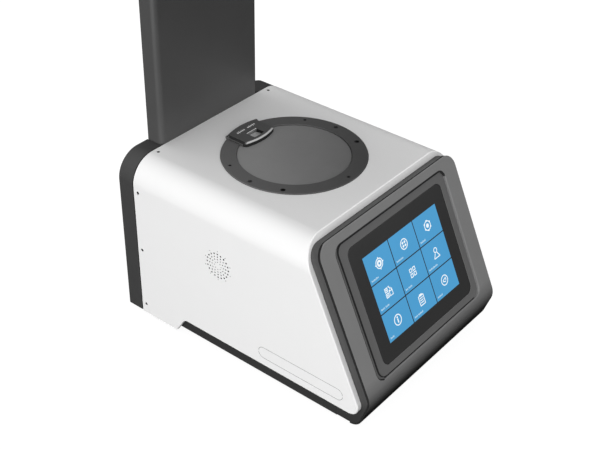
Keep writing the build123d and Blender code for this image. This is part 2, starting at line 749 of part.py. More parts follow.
def foot_screws():
    """Screws that hold the feet to the tray."""
    screws = []
    for x, y in foot_points():
        head = cylinder_up(x, y, FOOT_RECESS / 2, FOOT_RECESS, FOOT_SCREW_HEAD_R)
        screws.append(head + cylinder_up(x, y, FOOT_RECESS, Z_FLOOR, FOOT_SCREW_R))
    return screws


def neck_frame():
    """Dark frame behind the bezel: a hollow box whose front follows the leaning face."""

    def side(inset, wall):
        edges, top, last = nose_path(inset)
        y_back = TRAY_FRONT_Y + (NECK_WALL + 1 if wall else 0)
        low = last[1]
        back_height = Z_UNDER + NECK_BACK_HEIGHT - (NECK_WALL if wall else 0)
        depth = NECK_DEPTH + (NECK_WALL + 1 if wall else 0)
        knee = face_point(back_height, depth)
        crown = along(FACE_TOP, FACE_OUT, -depth)
        if wall:
            top = along(top, FACE_UP, -wall)
            crown = along(crown, FACE_UP, -wall)
            edges[0] = Line(top, edges[0] @ 1)
        rest = Polyline(last, (y_back, low), (y_back, back_height), knee, crown, top)
        return make_face(edges + [rest])

    seam = BEZEL_EDGE + NECK_SEAM
    frame = side_solid(side(seam, 0), FACE_HALF_WIDTH)
    frame &= rounded_front(FACE_HALF_WIDTH, 0, FACE_CORNER_R)
    cavity = side_solid(side(seam + NECK_WALL, NECK_WALL), FACE_HALF_WIDTH - NECK_WALL)
    cavity &= rounded_front(FACE_HALF_WIDTH - NECK_WALL, NECK_WALL, FACE_CORNER_R - NECK_WALL)
    frame -= cavity
    frame -= extrude(
        face_plane(-1) * plug_outline(BEZEL_PLUG_INSET - FIT_GAP), amount=-(NECK_DEPTH / 2)
    )
    return frame


def plug_outline(inset):
    """Outline of the bezel's inner body, within the edge of the face."""
    top = SCREEN_DROP - inset
    low = -POCKET_DOWN
    face = Pos(0, (top + low) / 2) * Rectangle(2 * (FACE_HALF_WIDTH - inset), top - low)
    return fillet(face.vertices().group_by(Axis.Y)[-1], FACE_CORNER_R - inset)


def front_rim(skin, profile):
    """Outer edges of the front skin: those on its side-view profile, without the lowest."""
    rim = []
    for edge in skin.edges():
        middle = edge @ 0.5
        near = profile.distance_to(Vector(0, middle.Y, middle.Z)) < HINGE_RUN
        if near and middle.Z > Z_UNDER + BEZEL_EDGE_R:
            rim.append(edge)
    return rim


def front_bezel():
    """Grey front skin that wraps the chin, with a recess and a seat for the glass."""
    edges, top, last = nose_path(0)
    inner_edges, inner_top, inner_last = nose_path(BEZEL_EDGE)
    skin_face = make_face(edges + inner_edges + [Line(top, inner_top), Line(last, inner_last)])
    skin = side_solid(skin_face, FACE_HALF_WIDTH)
    skin &= rounded_front(FACE_HALF_WIDTH, 0, FACE_CORNER_R)
    skin = fillet(front_rim(skin, Plane.YZ * Wire(edges)), BEZEL_EDGE_R)
    plug = extrude(face_plane(BEZEL_EDGE) * plug_outline(BEZEL_PLUG_INSET), amount=-(BEZEL_DEPTH - BEZEL_EDGE))
    bezel = skin + plug
    pocket = Pos(0, (POCKET_UP - POCKET_DOWN) / 2) * RectangleRounded(
        2 * POCKET_HALF_WIDTH, POCKET_UP + POCKET_DOWN, POCKET_R
    )
    bezel -= extrude(face_plane(-1) * pocket, amount=-(POCKET_DEPTH + 1))
    seat = Pos(SCREEN_SHIFT, 0) * RectangleRounded(
        GLASS_WIDTH + 2 * SCREW_GAP, GLASS_HEIGHT + 2 * SCREW_GAP, GLASS_R
    )
    bezel -= extrude(face_plane(0) * seat, amount=-(POCKET_DEPTH + GLASS_THICK))
    opening = Pos(SCREEN_SHIFT, 0) * Rectangle(PANEL_WIDTH + PANEL_MARGIN, PANEL_HEIGHT + PANEL_MARGIN)
    bezel -= extrude(face_plane(0) * opening, amount=-(BEZEL_DEPTH + 1))
    return bezel


def touch_glass():
    """Black touch glass, level with the floor of the recess."""
    face = Pos(SCREEN_SHIFT, 0) * RectangleRounded(GLASS_WIDTH, GLASS_HEIGHT, GLASS_R)
    return extrude(face_plane(POCKET_DEPTH) * face, amount=-GLASS_THICK)


def display_panel():
    """Flat 4:3 display bonded behind the glass."""
    face = Pos(SCREEN_SHIFT, 0) * Rectangle(PANEL_WIDTH, PANEL_HEIGHT)
    return extrude(face_plane(POCKET_DEPTH + GLASS_THICK) * face, amount=-PANEL_THICK)


def display_board():
    """Driver board on four spacers behind the display."""
    depth = POCKET_DEPTH + GLASS_THICK + PANEL_THICK
    width = PANEL_WIDTH - DISPLAY_BOARD_TRIM
    height = PANEL_HEIGHT - DISPLAY_BOARD_TRIM
    face = Pos(SCREEN_SHIFT, 0) * Rectangle(width, height)
    board = extrude(face_plane(depth + DISPLAY_BOARD_GAP) * face, amount=-DISPLAY_BOARD_THICK)
    for x in (-1, 1):
        for y in (-1, 1):
            spot = Pos(
                SCREEN_SHIFT + x * (width / 2 - DISPLAY_BOARD_TRIM), y * (height / 2 - DISPLAY_BOARD_TRIM)
            )
            board += extrude(face_plane(depth) * spot * Circle(SPACER_R), amount=-DISPLAY_BOARD_GAP)
    return board


def on_ring(angle, radius=RING_HOLE_CIRCLE_R):
    """A point on the port's hole circle."""
    return (radius * cos(radians(angle)), PORT_Y + radius * sin(radians(angle)))


def ring_points(angles):
    """Points on the port's hole circle at these angles."""
    return [on_ring(angle) for angle in angles]


def port_flange():
    """Dark ring round the port, with screw holes, fixture holes and the hinge lug."""
    ring = cylinder_up(0, PORT_Y, Z_WELL, Z_RING, RING_OUTER_R)
    ring -= cylinder_up(0, PORT_Y, Z_WELL, Z_RING, RING_INNER_R)
    ring = chamfer(ring.faces().sort_by(Axis.Z)[-1].edges(), RING_EDGE)
    for x, y in ring_points(RING_SCREW_ANGLES + RING_GRUB_ANGLES):
        ring -= cylinder_up(x, y, Z_WELL, Z_RING, RING_SCREW_R + SCREW_GAP)
    for x, y in ring_points(RING_SCREW_ANGLES):
        ring -= countersink(x, y, RING_SCREW_HEAD_R + SCREW_GAP, RING_SCREW_R + SCREW_GAP)
    for x, y in ring_points(RING_PIN_ANGLES):
        ring -= cylinder_up(x, y, Z_WELL, Z_RING, FIXTURE_HOLE_R)
    relief = offset(block_outline(), FIT_GAP)
    ring -= extrude(level(Z_RING - RING_RELIEF, 0, PORT_Y) * relief, amount=2 * RING_RELIEF)
    pin_y = HINGE_POINT[1]
    pin_z = HINGE_POINT[2]
    half = BLOCK_HALF_WIDTH + FIT_GAP
    groove = bar_across(-half, half, pin_y, pin_z, HINGE_GROOVE_R)
    lug = bar_across(-LUG_HALF_WIDTH, LUG_HALF_WIDTH, pin_y, pin_z, LUG_R)
    stem_low = Z_WELL + RING_THICK / 4
    lug += block_up(0, pin_y, stem_low, (2 * LUG_HALF_WIDTH, 2 * LUG_STEM_HALF, pin_z - stem_low))
    ring = ring - groove + lug
    return ring - bar_across(-half, half, pin_y, pin_z, HINGE_PIN_R)


def countersink(x, y, head_r, shank_r):
    """Cone of a countersunk screw head, its wide end level with the ring."""
    depth = head_r - shank_r
    low = level(Z_RING - depth, x, y) * Circle(shank_r)
    return loft([low, level(Z_RING, x, y) * Circle(head_r)])


def flange_screws():
    """Two countersunk and three headless screws that hold the ring and the well to the deck."""
    screws = []
    low = Z_RING - RING_SCREW_LENGTH
    for x, y in ring_points(RING_SCREW_ANGLES):
        shank = cylinder_up(x, y, low, Z_RING - (RING_SCREW_HEAD_R - RING_SCREW_R), RING_SCREW_R)
        screws.append(shank + countersink(x, y, RING_SCREW_HEAD_R, RING_SCREW_R))
    for x, y in ring_points(RING_GRUB_ANGLES):
        screws.append(cylinder_up(x, y, low, Z_RING - RING_GRUB_DROP, RING_SCREW_R))
    socket_face = RegularPolygon(RING_SOCKET_R, 6)
    sockets = [
        extrude(level(Z_RING, x, y) * socket_face, amount=-RING_SOCKET_DEPTH)
        for x, y in ring_points(RING_SCREW_ANGLES + RING_GRUB_ANGLES)
    ]
    return [screw - sockets for screw in screws]


def hinge_pin():
    """Steel pin through the lug of the ring."""
    half = HINGE_PIN_LENGTH / 2
    return bar_across(-half, half, HINGE_POINT[1], HINGE_POINT[2], HINGE_PIN_R)


def block_outline():
    """Plan of the raised block: its rear follows the ring and its front lip bows forward."""
    half = BLOCK_HALF_WIDTH
    rear_y = (BLOCK_REAR_R**2 - half**2) ** 0.5
    right = Line((half, BLOCK_FRONT_SIDE), (half, rear_y))
    rear = ThreePointArc((half, rear_y), (0, BLOCK_REAR_R), (-half, rear_y))
    left = Line((-half, rear_y), (-half, BLOCK_FRONT_SIDE))
    front = ThreePointArc((-half, BLOCK_FRONT_SIDE), (0, BLOCK_FRONT_MID), (half, BLOCK_FRONT_SIDE))
    face = make_face([right, rear, left, front])
    return fillet(face.vertices().group_by(Axis.Y)[0], BLOCK_CORNER_R)


def port_lid():
    """Round lid with a raised hinge block, whose square recess is the finger grip."""
    top = Z_RING - LID_DROP
    disc = cylinder_up(0, PORT_Y, Z_LID_UNDER, top, LID_R)
    rib = cylinder_up(0, PORT_Y, Z_LID_UNDER - LID_RIB_DEPTH, Z_LID_UNDER, LID_RIB_OUTER_R)
    rib -= cylinder_up(
        0, PORT_Y, Z_LID_UNDER - LID_RIB_DEPTH, Z_LID_UNDER, LID_RIB_OUTER_R - LID_RIB_WIDTH
    )
    low = Z_RING + BLOCK_LIFT
    high = Z_RING + BLOCK_PROUD
    block = extrude(level(low, 0, PORT_Y) * block_outline(), amount=high - low)
    upper = block.faces().sort_by(Axis.Z)[-1].edges()
    block = chamfer(upper.sort_by(Axis.Y)[0], BLOCK_BEVEL)
    upper = block.faces().sort_by(Axis.Z)[-1].edges()
    block = chamfer(upper.sort_by(Axis.Y)[-1], BLOCK_REAR_BEVEL)
    foot = extrude(level(top, 0, PORT_Y) * block_outline(), amount=low - top)
    foot &= cylinder_up(0, PORT_Y, top, low, LID_R)
    grip_y = PORT_Y + (GRIP_FRONT + GRIP_REAR) / 2
    grip_size = (GRIP_WIDTH, GRIP_REAR - GRIP_FRONT, 2 * GRIP_DEPTH)
    grip = block_up(0, grip_y, high - GRIP_DEPTH, grip_size, GRIP_CORNER_R)
    pin_y = HINGE_POINT[1]
    pin_z = HINGE_POINT[2]
    half = BLOCK_HALF_WIDTH
    knuckle = bar_across(-half, half, pin_y, pin_z, KNUCKLE_R)
    lid = disc + rib + (block + foot - grip) + knuckle
    slot_half = LUG_HALF_WIDTH + FIT_GAP
    slot_front = pin_y - KNUCKLE_R - HINGE_RUN
    slot_rear = PORT_Y + RING_OUTER_R
    slot_low = pin_z - HINGE_GROOVE_R
    slot_high = pin_z + LUG_R + FIT_GAP / 2
    lid -= block_up(
        0,
        (slot_front + slot_rear) / 2,
        slot_low,
        (2 * slot_half, slot_rear - slot_front, slot_high - slot_low),
    )
    bore_half = HINGE_PIN_LENGTH / 2 + FIT_GAP
    lid -= bar_across(-bore_half, bore_half, pin_y, pin_z, HINGE_PIN_R + HINGE_RUN)
    return lid


def lid_seal():
    """Foam ring that the closed lid meets."""
    high = Z_LID_UNDER - FIT_GAP
    outer = RING_INNER_R - FIT_GAP
    ring = cylinder_up(0, PORT_Y, Z_WELL, high, outer)
    return ring - cylinder_up(0, PORT_Y, Z_WELL, high, outer - SEAL_WIDTH)


def port_well():
    """Shallow cup under the lid, with the measuring aperture in its floor."""
    well = cylinder_up(0, PORT_Y, Z_DECK, Z_WELL, WELL_FLANGE_R)
    well += cylinder_up(0, PORT_Y, Z_WELL_UNDER, Z_WELL, WELL_INNER_R + WELL_WALL)
    well -= cylinder_up(0, PORT_Y, Z_WELL_FLOOR, Z_WELL, WELL_INNER_R)
    well -= cylinder_up(0, PORT_Y, Z_WELL_UNDER, Z_WELL_FLOOR, APERTURE_R)
    well -= loft(
        [
            level(Z_WELL_FLOOR - APERTURE_CHAMFER, 0, PORT_Y) * Circle(APERTURE_R),
            level(Z_WELL_FLOOR, 0, PORT_Y) * Circle(APERTURE_R + APERTURE_CHAMFER),
        ]
    )
    for x, y in ring_points(RING_SCREW_ANGLES + RING_GRUB_ANGLES):
        well -= cylinder_up(x, y, Z_DECK, Z_WELL, RING_SCREW_R + SCREW_GAP)
    return well


def port_window():
    """Clear window over the sphere's port."""
    return cylinder_up(0, PORT_Y, Z_WELL_UNDER - WINDOW_GLASS_THICK, Z_WELL_UNDER, WINDOW_GLASS_R)


def deck_plate():
    """Plate under the well, on four posts."""
    length = PORT_Y + DECK_BACK - DECK_FRONT_Y
    middle = DECK_FRONT_Y + length / 2
    low = Z_DECK - DECK_THICK
    deck = block_up(0, middle, low, (2 * DECK_HALF_WIDTH, length, DECK_THICK), DECK_EDGE_R)
    deck -= cylinder_up(0, PORT_Y, low, Z_DECK, WELL_INNER_R + WELL_WALL + FIT_GAP)
    for x, y in ring_points(RING_SCREW_ANGLES + RING_GRUB_ANGLES):
        deck -= cylinder_up(x, y, low, Z_DECK, RING_SCREW_R + SCREW_GAP)
    return deck


def deck_posts():
    """Posts from the tray to the deck."""
    posts = []
    for x in (-1, 1):
        for y in (PORT_Y - POST_FORWARD, PORT_Y + POST_BACK):
            post_x = x * (DECK_HALF_WIDTH - POST_EDGE)
            posts.append(cylinder_up(post_x, y, Z_FLOOR, Z_DECK - DECK_THICK, POST_R))
    return posts


def sphere_points(radius, count, start):
    """Evenly spaced points round the sphere's axis."""
    return [on_ring(start + 360 * step / count, radius) for step in range(count)]


def sphere_half(direction):
    """One half of the integrating sphere, with its joint flange at the equator."""
    centre = Pos(0, PORT_Y, Z_SPHERE)
    low = Z_SPHERE if direction > 0 else Z_SPHERE - SPHERE_FLANGE_THICK
    half = centre * Sphere(SPHERE_R)
    half += cylinder_up(0, PORT_Y, low, low + SPHERE_FLANGE_THICK, SPHERE_FLANGE_R)
    if direction > 0:
        half += cylinder_up(0, PORT_Y, Z_SPHERE, Z_WELL_UNDER, COLLAR_R)
    box_low = Z_SPHERE if direction > 0 else Z_SPHERE - 2 * SPHERE_R
    half &= block_up(0, PORT_Y, box_low, (4 * SPHERE_R, 4 * SPHERE_R, 2 * SPHERE_R))
    half -= centre * Sphere(SPHERE_INNER_R)
    if direction > 0:
        half -= cylinder_up(0, PORT_Y, Z_SPHERE, Z_WELL_UNDER, APERTURE_R)
        seat = Z_WELL_UNDER - WINDOW_GLASS_THICK
        half -= cylinder_up(0, PORT_Y, seat, Z_WELL_UNDER, WINDOW_GLASS_R + SCREW_GAP)
    else:
        half -= cylinder_up(0, PORT_Y, Z_SPHERE - 2 * SPHERE_R, Z_SPHERE, TRAP_PORT_R)
        z = Z_SPHERE - DETECTOR_DROP
        half -= bar_across(0, DETECTOR_END_X, PORT_Y, z, DETECTOR_R + SCREW_GAP)
    for x, y in sphere_points(SPHERE_LEG_CIRCLE_R, SPHERE_SCREW_COUNT, 0):
        half -= cylinder_up(
            x, y, low - 1, low + SPHERE_FLANGE_THICK + 1, SPHERE_SCREW_R + SCREW_GAP
        )
    return half


def sphere_screws():
    """Screws through the two joint flanges."""
    screws = []
    low = Z_SPHERE - SPHERE_FLANGE_THICK
    high = Z_SPHERE + SPHERE_FLANGE_THICK
    for x, y in sphere_points(SPHERE_LEG_CIRCLE_R, SPHERE_SCREW_COUNT, 0):
        head = cylinder_up(x, y, high, high + SPHERE_SCREW_R, 2 * SPHERE_SCREW_R)
        screws.append(head + cylinder_up(x, y, low, high, SPHERE_SCREW_R))
    return screws


def sphere_legs():
    """Legs from the tray to the lower joint flange."""
    legs = []
    high = Z_SPHERE - SPHERE_FLANGE_THICK
    for x, y in sphere_points(SPHERE_LEG_CIRCLE_R, 4, 45):
        legs.append(cylinder_up(x, y, Z_FLOOR, high, SPHERE_LEG_R))
    return legs


def sphere_baffle():
    """Small screen inside the sphere, between the port and the detector."""
    x = (SPHERE_INNER_R**2 - (BAFFLE_HEIGHT / 2) ** 2) ** 0.5
    slab = Pos(x - BAFFLE_WIDTH / 2, PORT_Y, Z_SPHERE + BAFFLE_HEIGHT / 2) * Box(
        BAFFLE_WIDTH, BAFFLE_HEIGHT, BAFFLE_THICK
    )
    return slab & (Pos(0, PORT_Y, Z_SPHERE) * Sphere(SPHERE_INNER_R))


def light_trap():
    """Tapered black trap below the sphere."""
    top = Z_SPHERE - (SPHERE_R**2 - (TRAP_R - TRAP_WALL) ** 2) ** 0.5 - SCREW_GAP
    outer = loft(
        [
            level(top - TRAP_LENGTH, 0, PORT_Y) * Circle(TRAP_R / 2),
            level(top, 0, PORT_Y) * Circle(TRAP_R),
        ]
    )
    inner = loft(
        [
            level(top - TRAP_LENGTH + TRAP_WALL, 0, PORT_Y) * Circle(TRAP_R / 2 - TRAP_WALL),
            level(top, 0, PORT_Y) * Circle(TRAP_R - TRAP_WALL),
        ]
    )
    post = cylinder_up(0, PORT_Y, Z_FLOOR, top - TRAP_LENGTH, TRAP_R / 3)
    return outer - inner + post


def detector_tube():
    """Tube that leads light from the sphere's wall to the spectrometer."""
    z = Z_SPHERE - DETECTOR_DROP
    start = (SPHERE_INNER_R**2 - DETECTOR_DROP**2) ** 0.5
    tube = bar_across(start, DETECTOR_END_X, PORT_Y, z, DETECTOR_R)
    return tube - bar_across(start, DETECTOR_END_X, PORT_Y, z, DETECTOR_BORE_R)


def spectrometer():
    """Closed spectrometer box on two feet."""
    z = Z_SPHERE - DETECTOR_DROP - SPECTRO_SIZE[2] / 2
    x = DETECTOR_END_X + SPECTRO_SIZE[0] / 2
    box = block_up(x, PORT_Y, z, SPECTRO_SIZE, 2.0)
    for side in (-1, 1):
        y = PORT_Y + side * (SPECTRO_SIZE[1] / 2 - POST_R)
        box += cylinder_up(x, y, Z_FLOOR, z, POST_R)
    return box


def main_board():
    """Main board near the front of the tray, with its tall components."""
    z = Z_FLOOR + STANDOFF_HEIGHT
    y = MAIN_BOARD_Y
    board = block_up(0, y, z, MAIN_BOARD_SIZE)
    top = z + MAIN_BOARD_SIZE[2]
    quarter = MAIN_BOARD_SIZE[0] / 4
    connector_y = y - MAIN_BOARD_SIZE[1] / 2 + CONNECTOR_SIZE[1]
    board += block_up(-quarter, y, top, PROCESSOR_SIZE)
    board += block_up(0, connector_y, top, CONNECTOR_SIZE)
    return board + block_up(quarter, y, top, COIL_SIZE)


def board_standoffs():
    """Standoffs under the main board."""
    half_x = MAIN_BOARD_SIZE[0] / 2 - STANDOFF_EDGE
    half_y = MAIN_BOARD_SIZE[1] / 2 - STANDOFF_EDGE
    spots = [(i * half_x, MAIN_BOARD_Y + j * half_y) for i in (-1, 1) for j in (-1, 1)]
    return [cylinder_up(px, py, Z_FLOOR, Z_FLOOR + STANDOFF_HEIGHT, STANDOFF_R) for px, py in spots]


def power_module():
    """Power converter on the tray, near the inlet."""
    return block_up(POWER_X, POWER_Y, Z_FLOOR, POWER_SIZE, POWER_EDGE_R)


def dc_inlet():
    """Round low-voltage inlet with its centre pin."""
    flange = bar_forward(DC_X, Y_REAR - FIT_GAP, Z_IO, DC_FLANGE_R, IO_RECESS - FIT_GAP)
    body = flange + bar_forward(DC_X, Y_PANEL, Z_IO, DC_BODY_R, DC_DEPTH)
    body -= bar_forward(DC_X, Y_REAR, Z_IO, DC_BORE_R, DC_DEPTH)
    return body + bar_forward(DC_X, Y_REAR - IO_RECESS / 2, Z_IO, DC_PIN_R, DC_DEPTH)


def usb_socket():
    """Square data socket with its tongue."""
    body = slab_forward(USB_X, Y_PANEL + FIT_GAP, Z_IO, USB_WIDTH, USB_HEIGHT, USB_DEPTH)
    mouth_w = USB_WIDTH - 2 * USB_WALL
    mouth_h = USB_HEIGHT - 2 * USB_WALL
    body -= slab_forward(USB_X, Y_PANEL + FIT_GAP, Z_IO, mouth_w, mouth_h, USB_MOUTH_DEPTH)
    return body + slab_forward(
        USB_X, Y_PANEL - USB_WALL, Z_IO, USB_TONGUE_WIDTH, USB_TONGUE_HEIGHT, USB_MOUTH_DEPTH
    )


def rocker_frame():
    """Snap-in frame of the power switch."""
    flange = slab_forward(
        ROCKER_X, Y_PANEL + ROCKER_FRAME_FLANGE, Z_IO,
        ROCKER_FRAME_WIDTH, ROCKER_FRAME_HEIGHT, ROCKER_FRAME_FLANGE, 1.0,
    )
    width = ROCKER_FRAME_WIDTH - 2 * ROCKER_FRAME_WALL
    height = ROCKER_FRAME_HEIGHT - 2 * ROCKER_FRAME_WALL
    body = flange + slab_forward(ROCKER_X, Y_PANEL, Z_IO, width, height, ROCKER_FRAME_DEPTH)
    body -= slab_forward(
        ROCKER_X, Y_PANEL + ROCKER_FRAME_FLANGE, Z_IO,
        ROCKER_WIDTH + 2 * FIT_GAP, ROCKER_HEIGHT + 2 * ROCKER_GAP, ROCKER_FRAME_DEPTH - ROCKER_FLOOR,
    )
    half = ROCKER_WIDTH / 2 + ROCKER_FRAME_WALL
    pivot = ROCKER_PIVOT_R + HINGE_RUN
    return body - bar_across(
        ROCKER_X - half, ROCKER_X + half, ROCKER_POINT[1], ROCKER_POINT[2], pivot
    )


def rocker_switch():
    """Rocker on its cross pivot, at rest with its upper half pressed in."""
    half = ROCKER_HEIGHT / 2
    front = ROCKER_PIVOT_DEPTH + ROCKER_PROUD
    wing = front + half * tan(radians(ROCKER_TILT))
    inner = half - ROCKER_KEEL
    points = [(-ROCKER_KEEL, 0), (0, inner), (wing, half), (front, 0), (wing, -half), (0, -inner)]
    face = make_face(Polyline(*points, close=True))
    rocker = extrude(Plane.YZ * face, amount=ROCKER_WIDTH / 2, both=True)
    pivot_half = ROCKER_WIDTH / 2 + ROCKER_PIVOT_REACH
    rocker += bar_across(-pivot_half, pivot_half, 0, 0, ROCKER_PIVOT_R)
    return Pos(*ROCKER_POINT) * Rot(ROCKER_TILT, 0, 0) * rocker


def column_tube():
    """Flat column cover with soft upright front edges."""
    plan = Rectangle(2 * COLUMN_HALF_WIDTH, COLUMN_DEPTH)
    plan = fillet(plan.vertices().group_by(Axis.Y)[0], COLUMN_FRONT_R)
    plan = fillet(plan.vertices().group_by(Axis.Y)[-1], COLUMN_REAR_R)
    inner = Rectangle(2 * (COLUMN_HALF_WIDTH - COLUMN_WALL), COLUMN_DEPTH - 2 * COLUMN_WALL)
    inner = fillet(inner.vertices().group_by(Axis.Y)[0], COLUMN_FRONT_R - COLUMN_WALL)
    y = Y_SEAM + COLUMN_DEPTH / 2
    return extrude(level(Z_SOCKET, 0, y) * (plan - inner), amount=Z_HEAD - Z_SOCKET)


def mast():
    """Flat steel tube that carries the head, from the rear housing to the lamp."""
    low = Z_UNDER + REAR_LIFT + REAR_WALL
    high = OVERALL_HEIGHT - MAST_TOP_DROP
    y = MAST_Y + MAST_DEPTH / 2
    tube = block_up(0, y, low, (2 * MAST_HALF_WIDTH, MAST_DEPTH, high - low))
    inner = (2 * (MAST_HALF_WIDTH - MAST_WALL), MAST_DEPTH - 2 * MAST_WALL, high - low)
    tube -= block_up(0, y, low, inner)
    for x, z in rear_screw_points():
        tube -= bar_forward(x, Y_REAR, z, REAR_SCREW_R + SCREW_GAP, Y_REAR - y)
    return tube


def mast_foot():
    """Bent bracket with two gussets that ties the mast to the tray."""
    upright_leg = Pos(
        0, MAST_Y - MAST_FOOT_THICK / 2, Z_FLOOR + MAST_FOOT_HEIGHT / 2
    ) * Box(2 * MAST_FOOT_HALF_WIDTH, MAST_FOOT_THICK, MAST_FOOT_HEIGHT)
    flat_leg = Pos(0, MAST_Y - MAST_FOOT_LENGTH / 2, Z_FLOOR + MAST_FOOT_THICK / 2) * Box(
        2 * MAST_FOOT_HALF_WIDTH, MAST_FOOT_LENGTH, MAST_FOOT_THICK
    )
    y = MAST_Y - MAST_FOOT_THICK
    z = Z_FLOOR + MAST_FOOT_THICK
    web = make_face(Polyline((y, z), (y - GUSSET_LENGTH, z), (y, z + GUSSET_HEIGHT), close=True))
    bracket = upright_leg + flat_leg
    for side in (-1, 1):
        x = side * (MAST_FOOT_HALF_WIDTH - MAST_FOOT_THICK)
        bracket += Pos(x, 0, 0) * extrude(Plane.YZ * web, amount=MAST_FOOT_THICK / 2, both=True)
    return bracket


def lamp_lead():
    """Flat lead inside the mast, from the cabinet to the lamp board."""
    y = MAST_Y + MAST_WALL + FIT_GAP + LEAD_THICK / 2
    low = Z_UNDER + REAR_LIFT + REAR_WALL + TRAY_FLOOR
    high = OVERALL_HEIGHT - MAST_TOP_DROP
    return block_up(0, y, low, (LEAD_WIDTH, LEAD_THICK, high - low))


def head_profile(inset):
    """Side outline of the lamp head: leaning front, large front radius, flat underside."""
    low = Z_HEAD + inset
    high = OVERALL_HEIGHT - inset
    lean = (high - low) * tan(radians(HEAD_LEAN))
    front = Y_HEAD_FRONT + inset
    rear = Y_REAR - inset
    points = [(rear, low), (rear, high), (front + lean, high), (front, low)]
    chin = HEAD_CHIN_R - inset
    radii = [max(HEAD_CHIN_R / 4 - inset, 0), HEAD_REAR_R - inset, HEAD_FRONT_R - inset, chin]
    return outline(points, radii)


def head_solid(inset):
    """The lamp head's outer form, smaller all round by an inset."""
    solid = side_solid(head_profile(inset), HEAD_HALF_WIDTH - inset)
    plan = Pos(0, (Y_REAR + Y_HEAD_FRONT) / 2) * RectangleRounded(
        2 * (HEAD_HALF_WIDTH - inset), Y_REAR - Y_HEAD_FRONT - 2 * inset, HEAD_SIDE_R - inset
    )
    return solid & extrude(level(Z_HEAD) * plan, amount=HEAD_HEIGHT)


def head_slice(low, high):
    """Wide block between two heights, to cut the head into its two halves."""
    depth = 2 * BODY_DEPTH
    return block_up(0, 0, low, (2 * BODY_WIDTH, depth, high - low))


def head_boss_points():
    """Places of the screw bosses in the head."""
    rear = Y_REAR - HEAD_BOSS_REAR
    front = Y_HEAD_FRONT + HEAD_BOSS_FRONT
    return [(side * HEAD_BOSS_X, y) for side in (-1, 1) for y in (front, rear)]


def head_base():
    """Lower half of the lamp head: it sits on the column and holds the exit ring."""
    base = head_solid(0) - head_solid(HEAD_WALL)
    base &= head_slice(Z_HEAD, Z_HEAD_SPLIT)
    y = MAST_Y + MAST_DEPTH / 2
    hole = (2 * (MAST_HALF_WIDTH + MAST_GAP), MAST_DEPTH + 2 * MAST_GAP, HEAD_WALL)
    base -= block_up(0, y, Z_HEAD, hole)
    base -= cylinder_up(0, PORT_Y, Z_HEAD, Z_HEAD + HEAD_WALL, EXIT_BORE_R + 2 * EXIT_LEDGE + FIT_GAP)
    for x, y in head_boss_points():
        base -= cylinder_up(x, y, Z_HEAD, Z_HEAD + HEAD_WALL, HEAD_SCREW_R + SCREW_GAP)
        base -= cylinder_up(x, y, Z_HEAD, Z_HEAD + HEAD_WALL / 2, HEAD_SCREW_HEAD_R + SCREW_GAP)
    return base


def head_cover():
    """Upper half of the lamp head, with a reveal above the split and four bosses."""
    cover = head_solid(0) & head_slice(Z_HEAD_SPLIT, OVERALL_HEIGHT)
    reveal = head_slice(Z_HEAD_SPLIT, Z_HEAD_SPLIT + HEAD_SEAM) - head_solid(HEAD_SEAM)
    cover = cover - reveal - head_solid(HEAD_WALL)
    for x, y in head_boss_points():
        boss = cylinder_up(x, y, Z_HEAD + HEAD_WALL + SCREW_GAP, OVERALL_HEIGHT, HEAD_BOSS_R)
        boss -= cylinder_up(x, y, Z_HEAD, Z_HEAD_SPLIT, HEAD_SCREW_R + SCREW_GAP)
        cover += boss & head_solid(HEAD_WALL / 2)
    return cover


def head_screws():
    """Screws from below that hold the two halves of the head."""
    screws = []
    sink = Z_HEAD + HEAD_WALL / 2
    for x, y in head_boss_points():
        head = cylinder_up(x, y, Z_HEAD + SCREW_GAP, sink, HEAD_SCREW_HEAD_R)
        screws.append(head + cylinder_up(x, y, sink, Z_HEAD_SPLIT - 1, HEAD_SCREW_R))
    return screws


def head_arm():
    """Plate from the mast's top that carries the lamp and its lens tube."""
    front = PORT_Y - ARM_FRONT
    length = MAST_Y - front
    arm = block_up(0, (MAST_Y + front) / 2, Z_ARM, (2 * ARM_HALF_WIDTH, length, ARM_THICK))
    arm += block_up(
        0, MAST_Y - ARM_THICK / 2, Z_ARM, (2 * ARM_HALF_WIDTH, ARM_THICK, ARM_TAB_HEIGHT)
    )
    return arm - cylinder_up(0, PORT_Y, Z_ARM, Z_ARM + ARM_THICK, LENS_TUBE_R + SCREW_GAP)


def lens_tube():
    """Blackened tube below the lamp, with a flange on the arm and a seat for the lens."""
    low = Z_HEAD + LENS_TUBE_LOW
    high = Z_HEAD + LENS_TUBE_HIGH
    inner = LENS_TUBE_R - LENS_TUBE_WALL
    tube = cylinder_up(0, PORT_Y, low, high, LENS_TUBE_R)
    flange_low = Z_ARM + ARM_THICK
    tube += cylinder_up(0, PORT_Y, flange_low, flange_low + LENS_TUBE_FLANGE, LENS_TUBE_FLANGE_R)
    tube -= cylinder_up(0, PORT_Y, low + LENS_SEAT, high, inner)
    return tube - cylinder_up(0, PORT_Y, low, high, inner - LENS_SEAT)


def condenser_lens():
    """Plano-convex lens, flat side down on its seat."""
    low = Z_HEAD + LENS_TUBE_LOW + LENS_SEAT
    radius = LENS_TUBE_R - LENS_TUBE_WALL - FIT_GAP
    edge = low + LENS_THICK
    crown = edge + LENS_CROWN
    crown_r = (radius**2 + LENS_CROWN**2) / (2 * LENS_CROWN)
    ball = Pos(0, PORT_Y, crown - crown_r) * Sphere(crown_r)
    return cylinder_up(0, PORT_Y, low, crown, radius) & ball


def lamp_board():
    """Lamp board on the lens tube, with its emitter below."""
    low = Z_HEAD + LENS_TUBE_HIGH
    side = LAMP_BOARD_SIDE
    board = block_up(0, PORT_Y, low, (side, side, LAMP_BOARD_THICK), 2.0)
    return board + cylinder_up(0, PORT_Y, low - EMITTER_THICK, low, EMITTER_R)


